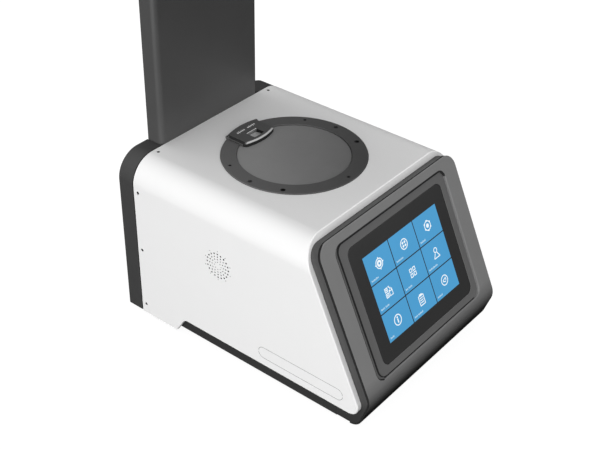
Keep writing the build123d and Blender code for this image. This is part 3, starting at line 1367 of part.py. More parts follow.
def heat_sink():
    """Finned heat sink on the lamp board."""
    low = Z_HEAD + LENS_TUBE_HIGH + LAMP_BOARD_THICK
    side = LAMP_BOARD_SIDE
    sink = block_up(0, PORT_Y, low, (side, side, SINK_BASE))
    for step in range(SINK_FIN_COUNT):
        x = (step / (SINK_FIN_COUNT - 1) - 0.5) * (side - SINK_FIN_THICK)
        sink += block_up(x, PORT_Y, low + SINK_BASE, (SINK_FIN_THICK, side, SINK_FIN_HEIGHT))
    return sink


def exit_ring():
    """Ring under the head, round the lamp's exit."""
    neck = EXIT_BORE_R + 2 * EXIT_LEDGE
    ring = cylinder_up(0, PORT_Y, Z_HEAD - EXIT_PROUD, Z_HEAD, EXIT_RING_R)
    ring = fillet(ring.faces().sort_by(Axis.Z)[0].edges(), EXIT_PROUD / 2)
    ring += cylinder_up(0, PORT_Y, Z_HEAD, Z_HEAD + HEAD_WALL, neck)
    ring -= cylinder_up(0, PORT_Y, Z_HEAD - EXIT_PROUD, Z_HEAD + HEAD_WALL, EXIT_BORE_R)
    seat = Z_HEAD + HEAD_WALL - EXIT_WINDOW_THICK
    return ring - cylinder_up(0, PORT_Y, seat, Z_HEAD + HEAD_WALL, EXIT_BORE_R + EXIT_LEDGE)


def exit_window():
    """Clear window in the exit ring."""
    seat = Z_HEAD + HEAD_WALL - EXIT_WINDOW_THICK
    radius = EXIT_BORE_R + EXIT_LEDGE - SCREW_GAP
    return cylinder_up(0, PORT_Y, seat, Z_HEAD + HEAD_WALL, radius)


PARTS = {
    "base_tray": base_tray,
    "outer_shell": outer_shell,
    "speaker_grille": speaker_grille,
    "speaker": speaker,
    "shell_screws": shell_screws,
    "rear_housing": rear_housing,
    "rear_screws": rear_screws,
    "neck_frame": neck_frame,
    "front_bezel": front_bezel,
    "touch_glass": touch_glass,
    "display_panel": display_panel,
    "display_board": display_board,
    "port_flange": port_flange,
    "flange_screws": flange_screws,
    "hinge_pin": hinge_pin,
    "port_lid": port_lid,
    "lid_seal": lid_seal,
    "port_well": port_well,
    "port_window": port_window,
    "deck_plate": deck_plate,
    "deck_posts": deck_posts,
    "sphere_upper": lambda: sphere_half(1),
    "sphere_lower": lambda: sphere_half(-1),
    "sphere_screws": sphere_screws,
    "sphere_legs": sphere_legs,
    "sphere_baffle": sphere_baffle,
    "light_trap": light_trap,
    "detector_tube": detector_tube,
    "spectrometer": spectrometer,
    "main_board": main_board,
    "board_standoffs": board_standoffs,
    "power_module": power_module,
    "dc_inlet": dc_inlet,
    "usb_socket": usb_socket,
    "rocker_frame": rocker_frame,
    "rocker_switch": rocker_switch,
    "rubber_feet": feet,
    "foot_screws": foot_screws,
    "column_tube": column_tube,
    "mast": mast,
    "mast_foot": mast_foot,
    "lamp_lead": lamp_lead,
    "head_base": head_base,
    "head_cover": head_cover,
    "head_screws": head_screws,
    "head_arm": head_arm,
    "lens_tube": lens_tube,
    "condenser_lens": condenser_lens,
    "lamp_board": lamp_board,
    "heat_sink": heat_sink,
    "exit_ring": exit_ring,
    "exit_window": exit_window,
}

os.makedirs("parts", exist_ok=True)
for name, make in PARTS.items():
    made = make()
    solids = made if isinstance(made, list) else [made]
    shape = Compound(children=[solid for item in solids for solid in item.solids()])
    export_step(shape, f"parts/{name}.step")
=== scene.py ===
import json
import math

import bpy
from mathutils import Matrix, Vector


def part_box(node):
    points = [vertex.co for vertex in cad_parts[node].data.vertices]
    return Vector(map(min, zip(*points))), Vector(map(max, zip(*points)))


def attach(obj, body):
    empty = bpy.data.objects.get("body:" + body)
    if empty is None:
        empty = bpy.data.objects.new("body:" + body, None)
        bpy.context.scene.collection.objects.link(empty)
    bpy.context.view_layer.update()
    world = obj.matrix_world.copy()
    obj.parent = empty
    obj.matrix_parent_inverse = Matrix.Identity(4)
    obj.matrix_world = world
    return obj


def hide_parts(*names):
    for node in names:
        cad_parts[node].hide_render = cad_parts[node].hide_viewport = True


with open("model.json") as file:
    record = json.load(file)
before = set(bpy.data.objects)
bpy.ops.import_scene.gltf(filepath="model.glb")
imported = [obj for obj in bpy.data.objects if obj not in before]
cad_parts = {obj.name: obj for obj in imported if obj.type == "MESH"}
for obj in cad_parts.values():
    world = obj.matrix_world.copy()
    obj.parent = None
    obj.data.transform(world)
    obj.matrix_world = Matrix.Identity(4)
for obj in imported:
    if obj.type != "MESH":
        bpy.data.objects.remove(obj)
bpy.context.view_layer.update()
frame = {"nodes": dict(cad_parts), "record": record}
MM = 0.001

# Light transmittance meter, dressed for its photograph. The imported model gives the
# places, and the sizes here are real ones, in metres or in millimetres times MM.

# Camera, fitted to the photograph
CAMERA_PLACE = Vector((-713.12, -553.11, 737.37)) * MM
CAMERA_AZIMUTH = math.radians(51.48)
CAMERA_PITCH = math.radians(34.96)
CAMERA_ROLL = math.radians(0.96)
CAMERA_LENS = 69.71
CAMERA_SENSOR = 36.0
CAMERA_REACH = 20.0

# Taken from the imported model
NODE_SLOTS = {row["node"]: row["material_slot"] for row in frame["record"]["subparts"]}
NODE_BODY = {
    node: body for body, nodes in frame["record"]["behaviour"]["bodies"].items() for node in nodes
}
SHELL_LOW, SHELL_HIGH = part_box("outer_shell")
GLASS_LOW, GLASS_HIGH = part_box("touch_glass")
GRILLE_LOW, GRILLE_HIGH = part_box("speaker_grille")
WINDOW_LOW, WINDOW_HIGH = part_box("port_window")
REAR_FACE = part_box("rear_housing")[1].y
RING_RISE = 1.0 * MM
PORT = Vector((0.0, (WINDOW_LOW.y + WINDOW_HIGH.y) / 2, SHELL_HIGH.z + RING_RISE))

# Making of the pieces
MERGE_DISTANCE = 0.002 * MM
FLAT_ANGLE = math.radians(0.3)
SHARP_ANGLE = math.radians(30)
NORMAL_WEIGHT = 80
CIRCLE_SIDES = 40
CORNER_SEGMENTS = 8

# Front face. Depths are measured back from the leaning face.
FACE_TILT = math.radians(25)
FACE_RIGHT = Vector((1, 0, 0))
FACE_UP = Vector((0, math.sin(FACE_TILT), math.cos(FACE_TILT)))
FACE_OUT = Vector((0, -math.cos(FACE_TILT), math.sin(FACE_TILT)))
GLASS_THICK = 1.8 * MM
GLASS_FRONT = (GLASS_LOW + GLASS_HIGH) / 2 + FACE_OUT * (GLASS_THICK / 2)
BEZEL_EDGE = 1.5 * MM
FLANGE_SET = 10.45 * MM
FLANGE_CORNER = 4.0 * MM
SEAM_SHADE = 1.1 * MM

# Recess round the glass, measured from the glass's middle
POCKET_DEPTH = 2.5 * MM
POCKET_HALF_WIDTH = 82.5 * MM
POCKET_RISE = 66.6 * MM
POCKET_FALL = 64.4 * MM
POCKET_RIM_RADIUS = 1.1 * MM
POCKET_RIM_SEGMENTS = 5
POCKET_CORNER = 9.0 * MM
# Painted shadow band in the recess: its width, and how far its inner edge moves right and down
POCKET_SHADOW_WIDTH = 1.1 * MM
POCKET_SHADOW_SHIFT_RIGHT = 0.9 * POCKET_SHADOW_WIDTH
POCKET_SHADOW_SHIFT_DOWN = 0.72 * POCKET_SHADOW_WIDTH
ON_FACE = 0.02 * MM
ON_POCKET_FLOOR = 0.05 * MM
POCKET_MARGIN = 1.0 * MM

# Joint between the shell and the rear housing, whose groove gets painted shadow
REAR_DEPTH = 20.0 * MM
SEAM_WIDTH = 1.2 * MM
SEAM_SLACK = 0.1 * MM

# Shares of a face's normal: how far a painted face has to be turned
FLANGE_OUT, FLANGE_UP = 0.25, 0.38
BEZEL_BACK, BEZEL_SIDE, BEZEL_FLAT, POCKET_WALL = 0.5, 0.35, 0.99, 0.1
LID_FRONT, LID_LEVEL, LID_SIDE = 0.3, 0.9, 0.6
GRILLE_FLAT = 0.95

# Screen picture
PICTURE_WIDTH = 111.6 * MM
PICTURE_HEIGHT = 83.3 * MM
TILE_GAP = 1.1 * MM
TILE_CORNER = 0.25 * MM
TILE_THICK = 0.04 * MM
MARK_THICK = 0.03 * MM
MARK_LINE = 0.95 * MM
LABEL_IN = 2.6 * MM
LABEL_HEIGHT = 1.7 * MM
LABEL_LOW_SHARE = 0.75
LABEL_BAR = 0.7 * MM
LABEL_PITCH = 1.12 * MM
LABEL_SPACE = 0.9 * MM

# Port ring and lid, measured from the port's axis
HOLE_CIRCLE = 62.6 * MM
RING_SCREW_DEPTH = 0.9 * MM
RING_SCREWS = (
    # angles, radius of the head, radius of the socket, depth below the ring's top
    ((-30, 210), 2.35 * MM, 1.15 * MM, 0.12 * MM),
    ((-90, 30, 150), 1.45 * MM, 0.8 * MM, 0.35 * MM),
)
LID_BLOCK_TOP = 3.6 * MM
LID_BLOCK_HALF = 22 * MM
LID_BLOCK_REAR = 55 * MM
LIP_TOP, LIP_BOTTOM = 0.25 * MM, 1.5 * MM
GRIP_HALF_WIDTH = 6.9 * MM
GRIP_FRONT = 42.3 * MM
GRIP_REAR = 53.2 * MM
GRIP_RIM = 0.65 * MM
LID_MARK_BACK = 59.5 * MM
LID_MARK_STARTS = (-11.4 * MM, 3.0 * MM)
LID_MARK_COUNT = 5
LID_MARK_PITCH = 2.2 * MM
LID_MARK_WIDTH = 1.1 * MM
LID_MARK_HEIGHTS = (1.8 * MM, 2.4 * MM)

# Printed outline on the left wall
OUTLINE_Y = -73.4 * MM
OUTLINE_Z = 36.3 * MM
OUTLINE_WIDTH = 96.9 * MM
OUTLINE_HEIGHT = 12.75 * MM
OUTLINE_CORNER = OUTLINE_HEIGHT * 0.499
OUTLINE_LINE = 0.55 * MM
OUTLINE_SINK = TILE_THICK * 0.85

# Rocker of the power switch
ROCKER_BAR = (0.8 * MM, 3.4 * MM)
ROCKER_RING = (1.8 * MM, 0.7 * MM)
ROCKER_MARK_THICK = 0.05 * MM
ROCKER_FLAT_AREA = (3 * MM) ** 2
ROCKER_OUT = 0.9
ROCKER_LEAN = 0.1

# Shell screws
SHELL_SCREW_SETBACK = 5.2 * MM
SHELL_SCREW_HEIGHTS = (10.8 * MM, 76.3 * MM, 141.4 * MM)
SHELL_SCREW_TOP_X = 78.3 * MM
SHELL_SCREW_SINK = 0.3 * MM
SHELL_SCREW_SIZE = (1.5 * MM, 0.8 * MM, 1.0 * MM)
FOOT_HEIGHT = 4.0 * MM
SCREW_SIDES = 32
SCREW_ROUNDING = 0.08

# Light
FLOOR_SIZE = 12
FLOOR_DROP = 0.2 * MM
FLOOR_BOUNCE = 0.03
FLOOR_WHITE = 0.86
FLOOR_GLOW = 1.13
FLOOR_GLOW_SHARE = 0.82
SKY_BRIGHT = Vector((-0.3, -0.45, 0.84))
SKY_DARK_FROM = 0.0
SKY_FULL_FROM = 0.4
SKY_LOW = 0.02
SKY_HIGH = 0.94
BOX_TARGET = Vector((0, 0, 0.1))
SOFT_BOXES = (
    # name, place, width and height, watts, whether gloss shows it
    ("left_soft_box", (-1.5, -0.3, 0.18), (1.6, 0.35), 15.6, True),
    ("right_soft_box", (1.7, 0.5, 0.3), (1.0, 1.0), 6.0, False),
    ("rear_soft_box", (-0.2, 1.8, 0.4), (1.0, 1.0), 17.0, False),
)

# Painted shade and painted sheen that drift over a piece: direction, two places along it, share of
# the colour at each
CHIN_PAINTED_SHADE = ((0, 0, 1), (20 * MM, 54 * MM), (0.03, 1.0))
NECK_PAINTED_SHADE = ((0, 0, 1), (10 * MM, 70 * MM), (0.5, 1.0))
SHEEN_ALONG = (0.62, -0.78, 0)
SHEEN_MIDDLE = PORT.y * SHEEN_ALONG[1]
SHEEN_REACH = 65 * MM
TURNED_PAINTED_SHEEN = (
    SHEEN_ALONG,
    (SHEEN_MIDDLE - SHEEN_REACH, SHEEN_MIDDLE + SHEEN_REACH),
    (1.42, 0.58),
)

# Patterns of the finishes
MOTTLE_DETAIL = 3.0
SMOOTH_DETAIL = 1.0
GLOSS_SPREAD = 0.04
GRAIN_STRENGTH = 0.35
GRAIN_DETAIL = 2.0
TURNED_MOTTLE = 0.07
TURNED_MOTTLE_SCALE = 60.0
TURNED_GLOSS_SPREAD = 0.05
TURNED_RING_SCALE = 3200.0
TURNED_RING_HEIGHT = 0.01 * MM
TURNED_RING_STRENGTH = 0.25
SCREEN_MOTTLE_SCALE = 30.0
SCREEN_GLOW = 1.0
SCREEN_UNLIT_SHARE = 0.06
SCREEN_ROUGHNESS = 0.2
CLEAR_TINT_SHARE = 0.97
CLEAR_TINT_SCALE = 25.0
CLEAR_IOR = 1.5


# Colours and shader nodes


def linear(*levels):
    """Colour for a shader from its three screen levels of 0 to 255."""
    shares = [level / 255 for level in levels]
    return [v / 12.92 if v <= 0.04045 else ((v + 0.055) / 1.055) ** 2.4 for v in shares] + [1.0]


def grey(level):
    """Grey for a shader from one screen level."""
    return linear(level, level, level)


def brightened(colour, share):
    """Colour this many times as bright, up to full."""
    return [min(part * share, 1.0) for part in colour[:3]] + [1.0]


def feed(tree, node, inputs):
    """Gives a shader node its inputs: a value is set, and a socket is linked."""
    for key, value in inputs.items():
        if isinstance(value, bpy.types.NodeSocket):
            tree.links.new(value, node.inputs[key])
        else:
            node.inputs[key].default_value = value


def add_node(tree, kind, inputs, **settings):
    """New shader node of a kind, with its settings and its inputs."""
    node = tree.nodes.new("ShaderNode" + kind)
    for key, value in settings.items():
        setattr(node, key, value)
    feed(tree, node, inputs)
    return node


def new_material(name):
    """Empty material; returns it with its node tree and its shader."""
    material = bpy.data.materials.new(name)
    material.use_nodes = True
    tree = material.node_tree
    return material, tree, tree.nodes["Principled BSDF"]


def object_place(tree):
    """Object coordinates."""
    return add_node(tree, "TexCoord", {}).outputs["Object"]


def noise(tree, place, scale, detail=MOTTLE_DETAIL):
    """Even noise from 0 to 1."""
    inputs = {"Vector": place, "Scale": scale, "Detail": detail}
    return add_node(tree, "TexNoise", inputs).outputs["Fac"]


def blended(tree, pattern, first, second):
    """Colour that a pattern takes from a first one to a second."""
    inputs = {"A": first, "B": second, "Factor": pattern}
    return add_node(tree, "Mix", inputs, data_type="RGBA").outputs["Result"]


def mottled(tree, place, colour, scale, share, detail=MOTTLE_DETAIL):
    """Colour that noise takes a share below itself and a share above."""
    pattern = noise(tree, place, scale, detail)
    return blended(tree, pattern, brightened(colour, 1 - share), brightened(colour, 1 + share))


def varied(tree, pattern, middle, spread):
    """Number that a pattern takes from a spread below its middle to a spread above it."""
    inputs = {"Value": pattern, "To Min": middle - spread, "To Max": middle + spread}
    return add_node(tree, "MapRange", inputs).outputs["Result"]


def bumped(tree, pattern, strength, height):
    """Surface direction that a pattern roughens by a height."""
    inputs = {"Height": pattern, "Strength": strength, "Distance": height}
    return add_node(tree, "Bump", inputs).outputs["Normal"]


def faded(tree, place, colour, direction, places, shares):
    """Colour times a share that changes evenly between two places along a direction."""
    along = add_node(tree, "VectorMath", {0: place, 1: direction}, operation="DOT_PRODUCT")
    inputs = {
        "Value": along.outputs["Value"],
        "From Min": places[0],
        "From Max": places[1],
        "To Min": shares[0],
        "To Max": shares[1],
    }
    share = add_node(tree, "MapRange", inputs).outputs["Result"]
    inputs = {0: colour, "Scale": share}
    return add_node(tree, "VectorMath", inputs, operation="SCALE").outputs["Vector"]


# Finishes


def finish(
    name,
    colour,
    roughness,
    metallic=0.0,
    mottle=0.05,
    mottle_scale=45.0,
    grain=0.02,
    grain_scale=1400.0,
    stretch=None,
    painted_shade=None,
):
    """Finish with a faint mottle in its colour and gloss, and a fine grain in its surface.

    The grain's height is in millimetres. A stretch packs both patterns closer along an axis,
    and a painted shade is one of the drifting painted shades above.
    """
    material, tree, shader = new_material(name)
    place = object_place(tree)
    if stretch:
        place = add_node(tree, "Mapping", {"Vector": place, "Scale": stretch}).outputs["Vector"]
    broad = noise(tree, place, mottle_scale)
    shade = blended(tree, broad, brightened(colour, 1 - mottle), brightened(colour, 1 + mottle))
    if painted_shade:
        shade = faded(tree, place, shade, *painted_shade)
    fine = noise(tree, place, grain_scale, GRAIN_DETAIL)
    inputs = {
        "Base Color": shade,
        "Roughness": varied(tree, broad, roughness, GLOSS_SPREAD),
        "Normal": bumped(tree, fine, GRAIN_STRENGTH, grain * MM),
        "Metallic": metallic,
    }
    feed(tree, shader, inputs)
    return material


def turned_finish(name, colour, roughness):
    """Anodised finish with the faint rings that turning leaves round the port's axis, and a painted
    sheen that brightens it towards the rear left and darkens it towards the front right.
    """
    material, tree, shader = new_material(name)
    place = object_place(tree)
    inputs = {"Vector": place, "Location": (0, -PORT.y, 0), "Scale": (1, 1, 0)}
    centred = add_node(tree, "Mapping", inputs).outputs["Vector"]
    radius = add_node(tree, "VectorMath", {0: centred}, operation="LENGTH").outputs["Value"]
    inputs = {"W": radius, "Scale": TURNED_RING_SCALE, "Detail": GRAIN_DETAIL}
    rings = add_node(tree, "TexNoise", inputs, noise_dimensions="1D").outputs["Fac"]
    shade = mottled(tree, place, colour, TURNED_MOTTLE_SCALE, TURNED_MOTTLE)
    inputs = {
        "Base Color": faded(tree, place, shade, *TURNED_PAINTED_SHEEN),
        "Roughness": varied(tree, rings, roughness, TURNED_GLOSS_SPREAD),
        "Normal": bumped(tree, rings, TURNED_RING_STRENGTH, TURNED_RING_HEIGHT),
    }
    feed(tree, shader, inputs)
    return material


def lit_finish(name, colour, mottle):
    """Lit part of the screen under its glass, a touch brighter in places."""
    material, tree, shader = new_material(name)
    place = object_place(tree)
    glow = mottled(tree, place, colour, SCREEN_MOTTLE_SCALE, mottle, SMOOTH_DETAIL)
    inputs = {
        "Emission Color": glow,
        "Emission Strength": SCREEN_GLOW,
        "Base Color": brightened(colour, SCREEN_UNLIT_SHARE),
        "Roughness": SCREEN_ROUGHNESS,
    }
    feed(tree, shader, inputs)
    return material


def glass_finish(name, colour, roughness):
    """Clear glass with a faint tint that drifts over the surface."""
    material, tree, shader = new_material(name)
    broad = noise(tree, object_place(tree), CLEAR_TINT_SCALE, SMOOTH_DETAIL)
    inputs = {
        "Base Color": blended(tree, broad, brightened(colour, CLEAR_TINT_SHARE), colour),
        "Transmission Weight": 1.0,
        "Roughness": roughness,
        "IOR": CLEAR_IOR,
    }
    feed(tree, shader, inputs)
    return material


# The record's material slots: name, colour and roughness of each finish
FINISHES = {
    "shell_white": finish(
        "satin_white_paint", grey(233), 0.38, mottle=0.006, grain=0.012, grain_scale=700.0
    ),
    "housing_dark": finish("fine_dark_moulding", grey(58), 0.5, grain=0.03, grain_scale=1100.0),
    # Bezel grey with painted shade that darkens it to near black towards the bottom of the chin
    "bezel_grey": finish(
        "satin_grey_moulding", grey(130), 0.42, grain=0.015, grain_scale=1300.0, painted_shade=CHIN_PAINTED_SHADE
    ),
    "pocket_grey": finish(
        "recess_grey_moulding", grey(101), 0.45, grain=0.015, grain_scale=1300.0
    ),
    "head_grey": finish("head_dark_moulding", grey(76), 0.46, grain=0.03, grain_scale=1100.0),
    "tray_metal": finish("black_powder_coat", grey(45), 0.55, grain=0.05, grain_scale=900.0),
    "column_dark": finish("column_powder_coat", grey(71), 0.46, grain=0.03, grain_scale=1000.0),
    "screen_glass": finish("black_cover_glass", grey(56), 0.16, mottle=0.02, grain=0.0),
    "clear_glass": glass_finish("clear_optical_glass", [0.93, 0.97, 0.96, 1.0], 0.02),
    "display": finish("display_layer", linear(20, 60, 110), 0.3),
    "board_green": finish(
        "green_board", linear(28, 92, 52), 0.4, mottle=0.15, mottle_scale=300.0
    ),
    "board_white": finish("white_lamp_board", grey(223), 0.4),
    # Ring and lid carry a painted sheen, brighter on one side and darker on the other
    "ring_dark": turned_finish("dark_anodised_ring", grey(82), 0.5),
    "lid_grey": turned_finish("satin_grey_lid", grey(126), 0.48),
    "seal_rubber": finish(
        "black_foam", grey(26), 0.9, mottle=0.2, mottle_scale=900.0, grain=0.15, grain_scale=1600.0
    ),
    "foot_rubber": finish("black_rubber_foot", grey(30), 0.8, grain=0.06, grain_scale=900.0),
    "lead_rubber": finish("black_flat_lead", grey(34), 0.6),
    "screw_steel": finish("plated_screw", grey(178), 0.3, metallic=1.0, stretch=(1, 1, 6)),
    "screw_black": finish("black_screw", grey(38), 0.35, metallic=0.8),
    "inner_aluminium": finish(
        "milled_aluminium", grey(198), 0.38, metallic=1.0, stretch=(1, 8, 1)
    ),
    "inner_steel": finish("zinc_plated_steel", grey(171), 0.4, metallic=1.0, mottle=0.12),
    "inner_black": finish("black_anodised_inside", grey(32), 0.5, metallic=0.3),
    "sphere_white": finish("diffuse_white_coat", grey(235), 0.85, mottle=0.01, grain=0.06),
    "socket_black": finish("socket_black_moulding", grey(30), 0.42),
    "socket_metal": finish("socket_plating", grey(188), 0.3, metallic=1.0, stretch=(1, 6, 1)),
}
# Finishes of single faces and of marks, among them painted highlights, painted light and painted
# shadow
TILE_BLUE = lit_finish("screen_tile_blue", linear(76, 154, 203), 0.04)
MARK_WHITE = lit_finish("screen_mark_white", linear(236, 245, 250), 0.02)
LABEL_WHITE = lit_finish("screen_label_pale", linear(190, 218, 236), 0.03)
LINE_GREY = finish("printed_grey_line", grey(140), 0.5)
# White print of the marks, also a painted highlight on the rear rim of the lid's finger recess
PRINT_AND_PAINTED_HIGHLIGHT = finish("printed_white_mark_and_painted_highlight", grey(246), 0.5)
# Painted highlight on the front lip of the lid's block
LIP_PAINTED_HIGHLIGHT = finish("lip_painted_highlight", grey(186), 0.3)
# Painted light: lighter than the block, on the floor of the finger recess
GRIP_FLOOR_PAINTED_LIGHT = finish("grip_floor_painted_light", grey(176), 0.45)
GRILLE_SHADE = finish("grille_hole_painted_shade", grey(14), 0.9)
# Painted shadow: near black put on joint lines, recess walls, side walls and under the lid's lip,
# where shade falls
PAINTED_SHADOW_BLACK = finish("painted_shadow_black", grey(20), 0.8)
# Neck grey with painted shade that darkens it to half towards the bottom
NECK_GREY = finish("neck_dark_moulding", grey(70), 0.45, grain=0.03, painted_shade=NECK_PAINTED_SHADE)
POCKET_SHADE = finish("recess_edge_shade", grey(44), 0.5)
# Painted highlight: brighter than the shell's own white, on the flange's upper edge
FLANGE_PAINTED_HIGHLIGHT = finish("flange_painted_highlight", grey(252), 0.3, mottle=0.006)
BLOCK_DARK = finish("lid_block_dark", grey(79), 0.46, grain=0.04, grain_scale=900.0)


# Modelling steps


def deselect():
    """Leaves nothing selected, so that the next operator acts on one piece alone."""
    bpy.ops.object.select_all(action="DESELECT")


def work_on(piece):
    """Makes one piece the selected and active one."""
    deselect()
    piece.select_set(True)
    bpy.context.view_layer.objects.active = piece


def enter_edit():
    """Opens the active piece's mesh."""
    bpy.ops.object.mode_set(mode="EDIT")


def leave_edit():
    """Closes the active piece's mesh."""
    bpy.ops.object.mode_set(mode="OBJECT")


def edit_all(piece):
    """Opens a piece's mesh with all of it selected."""
    work_on(piece)
    enter_edit()
    bpy.ops.mesh.select_all(action="SELECT")


def edit_selected(piece, kind, elements, test):
    """Opens a piece's mesh with only the faces or edges selected that pass a test."""
    work_on(piece)
    enter_edit()
    bpy.ops.mesh.select_mode(type=kind)
    bpy.ops.mesh.select_all(action="DESELECT")
    leave_edit()
    for element in elements:
        element.select = test(element)
    enter_edit()


def edit_every_face(piece):
    """Opens a piece's mesh in face mode with every face selected."""
    edit_selected(piece, "FACE", piece.data.polygons, lambda face: True)


def apply_modifier(piece, kind, **values):
    """Adds a modifier with these values and applies it."""
    work_on(piece)
    modifier = piece.modifiers.new(kind.lower(), kind)
    for key, value in values.items():
        setattr(modifier, key, value)
    bpy.ops.object.modifier_apply(modifier=modifier.name)


def write_place(piece):
    """Writes the place, turn and size of the piece at work into its mesh, and returns it."""
    bpy.ops.object.transform_apply(location=True, rotation=True, scale=True)
    return piece


def seat(piece, matrix):
    """Puts a piece in its place and writes the place into its mesh."""
    work_on(piece)
    piece.matrix_world = matrix
    write_place(piece)


def basis(origin, right, up, out):
    """Matrix of a local frame from its origin and its three directions."""
    turn = Matrix((right, up, out)).transposed()
    return Matrix.Translation(origin) @ turn.to_4x4()


def soften(piece, width, segments=2):
    """Rounds the sharp edges by a width and smooths the rest."""
    apply_modifier(
        piece,
        "BEVEL",
        width=width,
        segments=segments,
        limit_method="ANGLE",
        angle_limit=SHARP_ANGLE,
    )
    bpy.ops.object.shade_smooth_by_angle(angle=SHARP_ANGLE)
    apply_modifier(piece, "WEIGHTED_NORMAL", keep_sharp=True, weight=NORMAL_WEIGHT)


def join(pieces, name):
    """One piece from several."""
    work_on(pieces[0])
    for piece in pieces[1:]:
        piece.select_set(True)
    if len(pieces) > 1:
        bpy.ops.object.join()
    pieces[0].name = name
    return pieces[0]


def new_piece(name, mesh):
    """Piece that shows a mesh, at the origin."""
    piece = bpy.data.objects.new(name, mesh)
    bpy.context.scene.collection.objects.link(piece)
    return piece


def merged_copy(node):
    """Copy of a CAD node, its triangles merged where they are flat."""
    piece = new_piece(node + "_dressed", frame["nodes"][node].data.copy())
    edit_all(piece)
    bpy.ops.mesh.remove_doubles(threshold=MERGE_DISTANCE)
    bpy.ops.mesh.dissolve_limited(angle_limit=FLAT_ANGLE)
    leave_edit()
    return piece


def cut_across(piece, point, direction):
    """Adds edges where a plane passes through a piece."""
    edit_every_face(piece)
    bpy.ops.mesh.bisect(plane_co=point, plane_no=direction)
    leave_edit()


def paint(piece, materials, choose):
    """Gives a piece its materials, and each face the one that a test chooses."""
    piece.data.materials.clear()
    for material in materials:
        piece.data.materials.append(material)
    for face in piece.data.polygons:
        face.material_index = materials.index(choose(face))


def hand_over(piece, body, material=None, replaces=()):
    """Gives a finished piece its body, its material and the nodes it stands for."""
    if material:
        piece.data.materials.clear()
        piece.data.materials.append(material)
    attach(piece, body)
    if replaces:
        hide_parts(*replaces)


# Pieces whose CAD form is kept, whose edges are softened, and which have one finish all over

PLAIN_HOUSING = {
    "port_flange": 0.2 * MM,
    "column_tube": 0.3 * MM,
    "base_tray": 0.6 * MM,
    "head_base": 0.4 * MM,
    "head_cover": 0.3 * MM,
    "exit_ring": 0.2 * MM,
    "rubber_feet": 0.5 * MM,
    "port_well": 0.3 * MM,
}


def softened_housing():
    """Copies of the plain housing nodes, each with its own softened edge."""
    for node, edge in PLAIN_HOUSING.items():
        piece = merged_copy(node)
        soften(piece, edge)
        slot = NODE_SLOTS[node]
        hand_over(piece, NODE_BODY[node], FINISHES[slot], [node])


# Pieces whose faces have more than one finish

SHELL_SOFT = 0.35 * MM
REAR_SOFT = 0.25 * MM
NECK_SOFT = 0.3 * MM
BEZEL_SOFT = 0.2 * MM
LID_SOFT = 0.25 * MM
GRILLE_SOFT = 0.32 * MM
GRILLE_RIM = 0.2 * MM
GLASS_SOFT = 0.25 * MM


def face_depth(point):
    """How far a point lies behind the leaning face."""
    return (GLASS_FRONT - point).dot(FACE_OUT) + POCKET_DEPTH


def face_plane_point(depth):
    """Point of the plane that lies this far behind the leaning face."""
    return GLASS_FRONT + FACE_OUT * (POCKET_DEPTH - depth)


def in_pocket(point, margin):
    """Whether a point lies over the recess of the face, or within a margin of it."""
    up = (point - GLASS_FRONT).dot(FACE_UP)
    across = abs(point.x) < POCKET_HALF_WIDTH + margin
    return across and -POCKET_FALL - margin < up < POCKET_RISE + margin


def dressed_shell():
    """White shell with a painted highlight along the upper edge of its flange."""
    piece = merged_copy("outer_shell")
    soften(piece, SHELL_SOFT)
    white = FINISHES["shell_white"]

    def choose(face):
        front = abs(face_depth(face.center) - FLANGE_SET) < FLANGE_CORNER
        high = face.center.z > SHELL_HIGH.z - FLANGE_CORNER
        turned = face.normal.dot(FACE_OUT) > FLANGE_OUT and face.normal.z > FLANGE_UP
        return FLANGE_PAINTED_HIGHLIGHT if front and high and turned else white

    paint(piece, (white, FLANGE_PAINTED_HIGHLIGHT), choose)
    hand_over(piece, "instrument", None, ["outer_shell"])


def dressed_rear():
    """Dark rear housing with a painted shadow line along its joint with the shell."""
    piece = merged_copy("rear_housing")
    soften(piece, REAR_SOFT)
    joint = REAR_FACE - REAR_DEPTH + SEAM_WIDTH
    dark = FINISHES["housing_dark"]

    def choose(face):
        # Faces of the joint groove get painted shadow
        in_shadow_line = joint - 2 * SEAM_WIDTH < face.center.y < joint + SEAM_SLACK
        return PAINTED_SHADOW_BLACK if in_shadow_line else dark

    paint(piece, (dark, PAINTED_SHADOW_BLACK), choose)
    hand_over(piece, "instrument", None, ["rear_housing"])


def dressed_neck():
    """Dark neck between bezel and shell, with a painted shadow line along its joint with each."""
    piece = merged_copy("neck_frame")
    soften(piece, NECK_SOFT)
    front = BEZEL_EDGE + SEAM_SHADE
    rear = FLANGE_SET - SEAM_SHADE
    for depth in (front, rear):
        cut_across(piece, face_plane_point(depth), FACE_OUT)

    def choose(face):
        depth = face_depth(face.center)
        # Bands next to the bezel and next to the shell's flange get painted shadow
        in_shadow_line = depth < front or rear < depth < FLANGE_SET + SEAM_SHADE
        return PAINTED_SHADOW_BLACK if in_shadow_line else NECK_GREY

    paint(piece, (NECK_GREY, PAINTED_SHADOW_BLACK), choose)
    hand_over(piece, "instrument", None, ["neck_frame"])


def round_pocket_rim(piece):
    """Rounds the rim where the recess meets the face."""

    def on_rim(edge):
        ends = [piece.data.vertices[index].co for index in edge.vertices]
        level = all(abs(face_depth(end)) < ON_FACE for end in ends)
        return level and in_pocket((ends[0] + ends[1]) / 2, POCKET_MARGIN)

    edit_selected(piece, "EDGE", piece.data.edges, on_rim)
    bpy.ops.mesh.bevel(offset=POCKET_RIM_RADIUS, segments=POCKET_RIM_SEGMENTS, affect="EDGES")
    leave_edit()


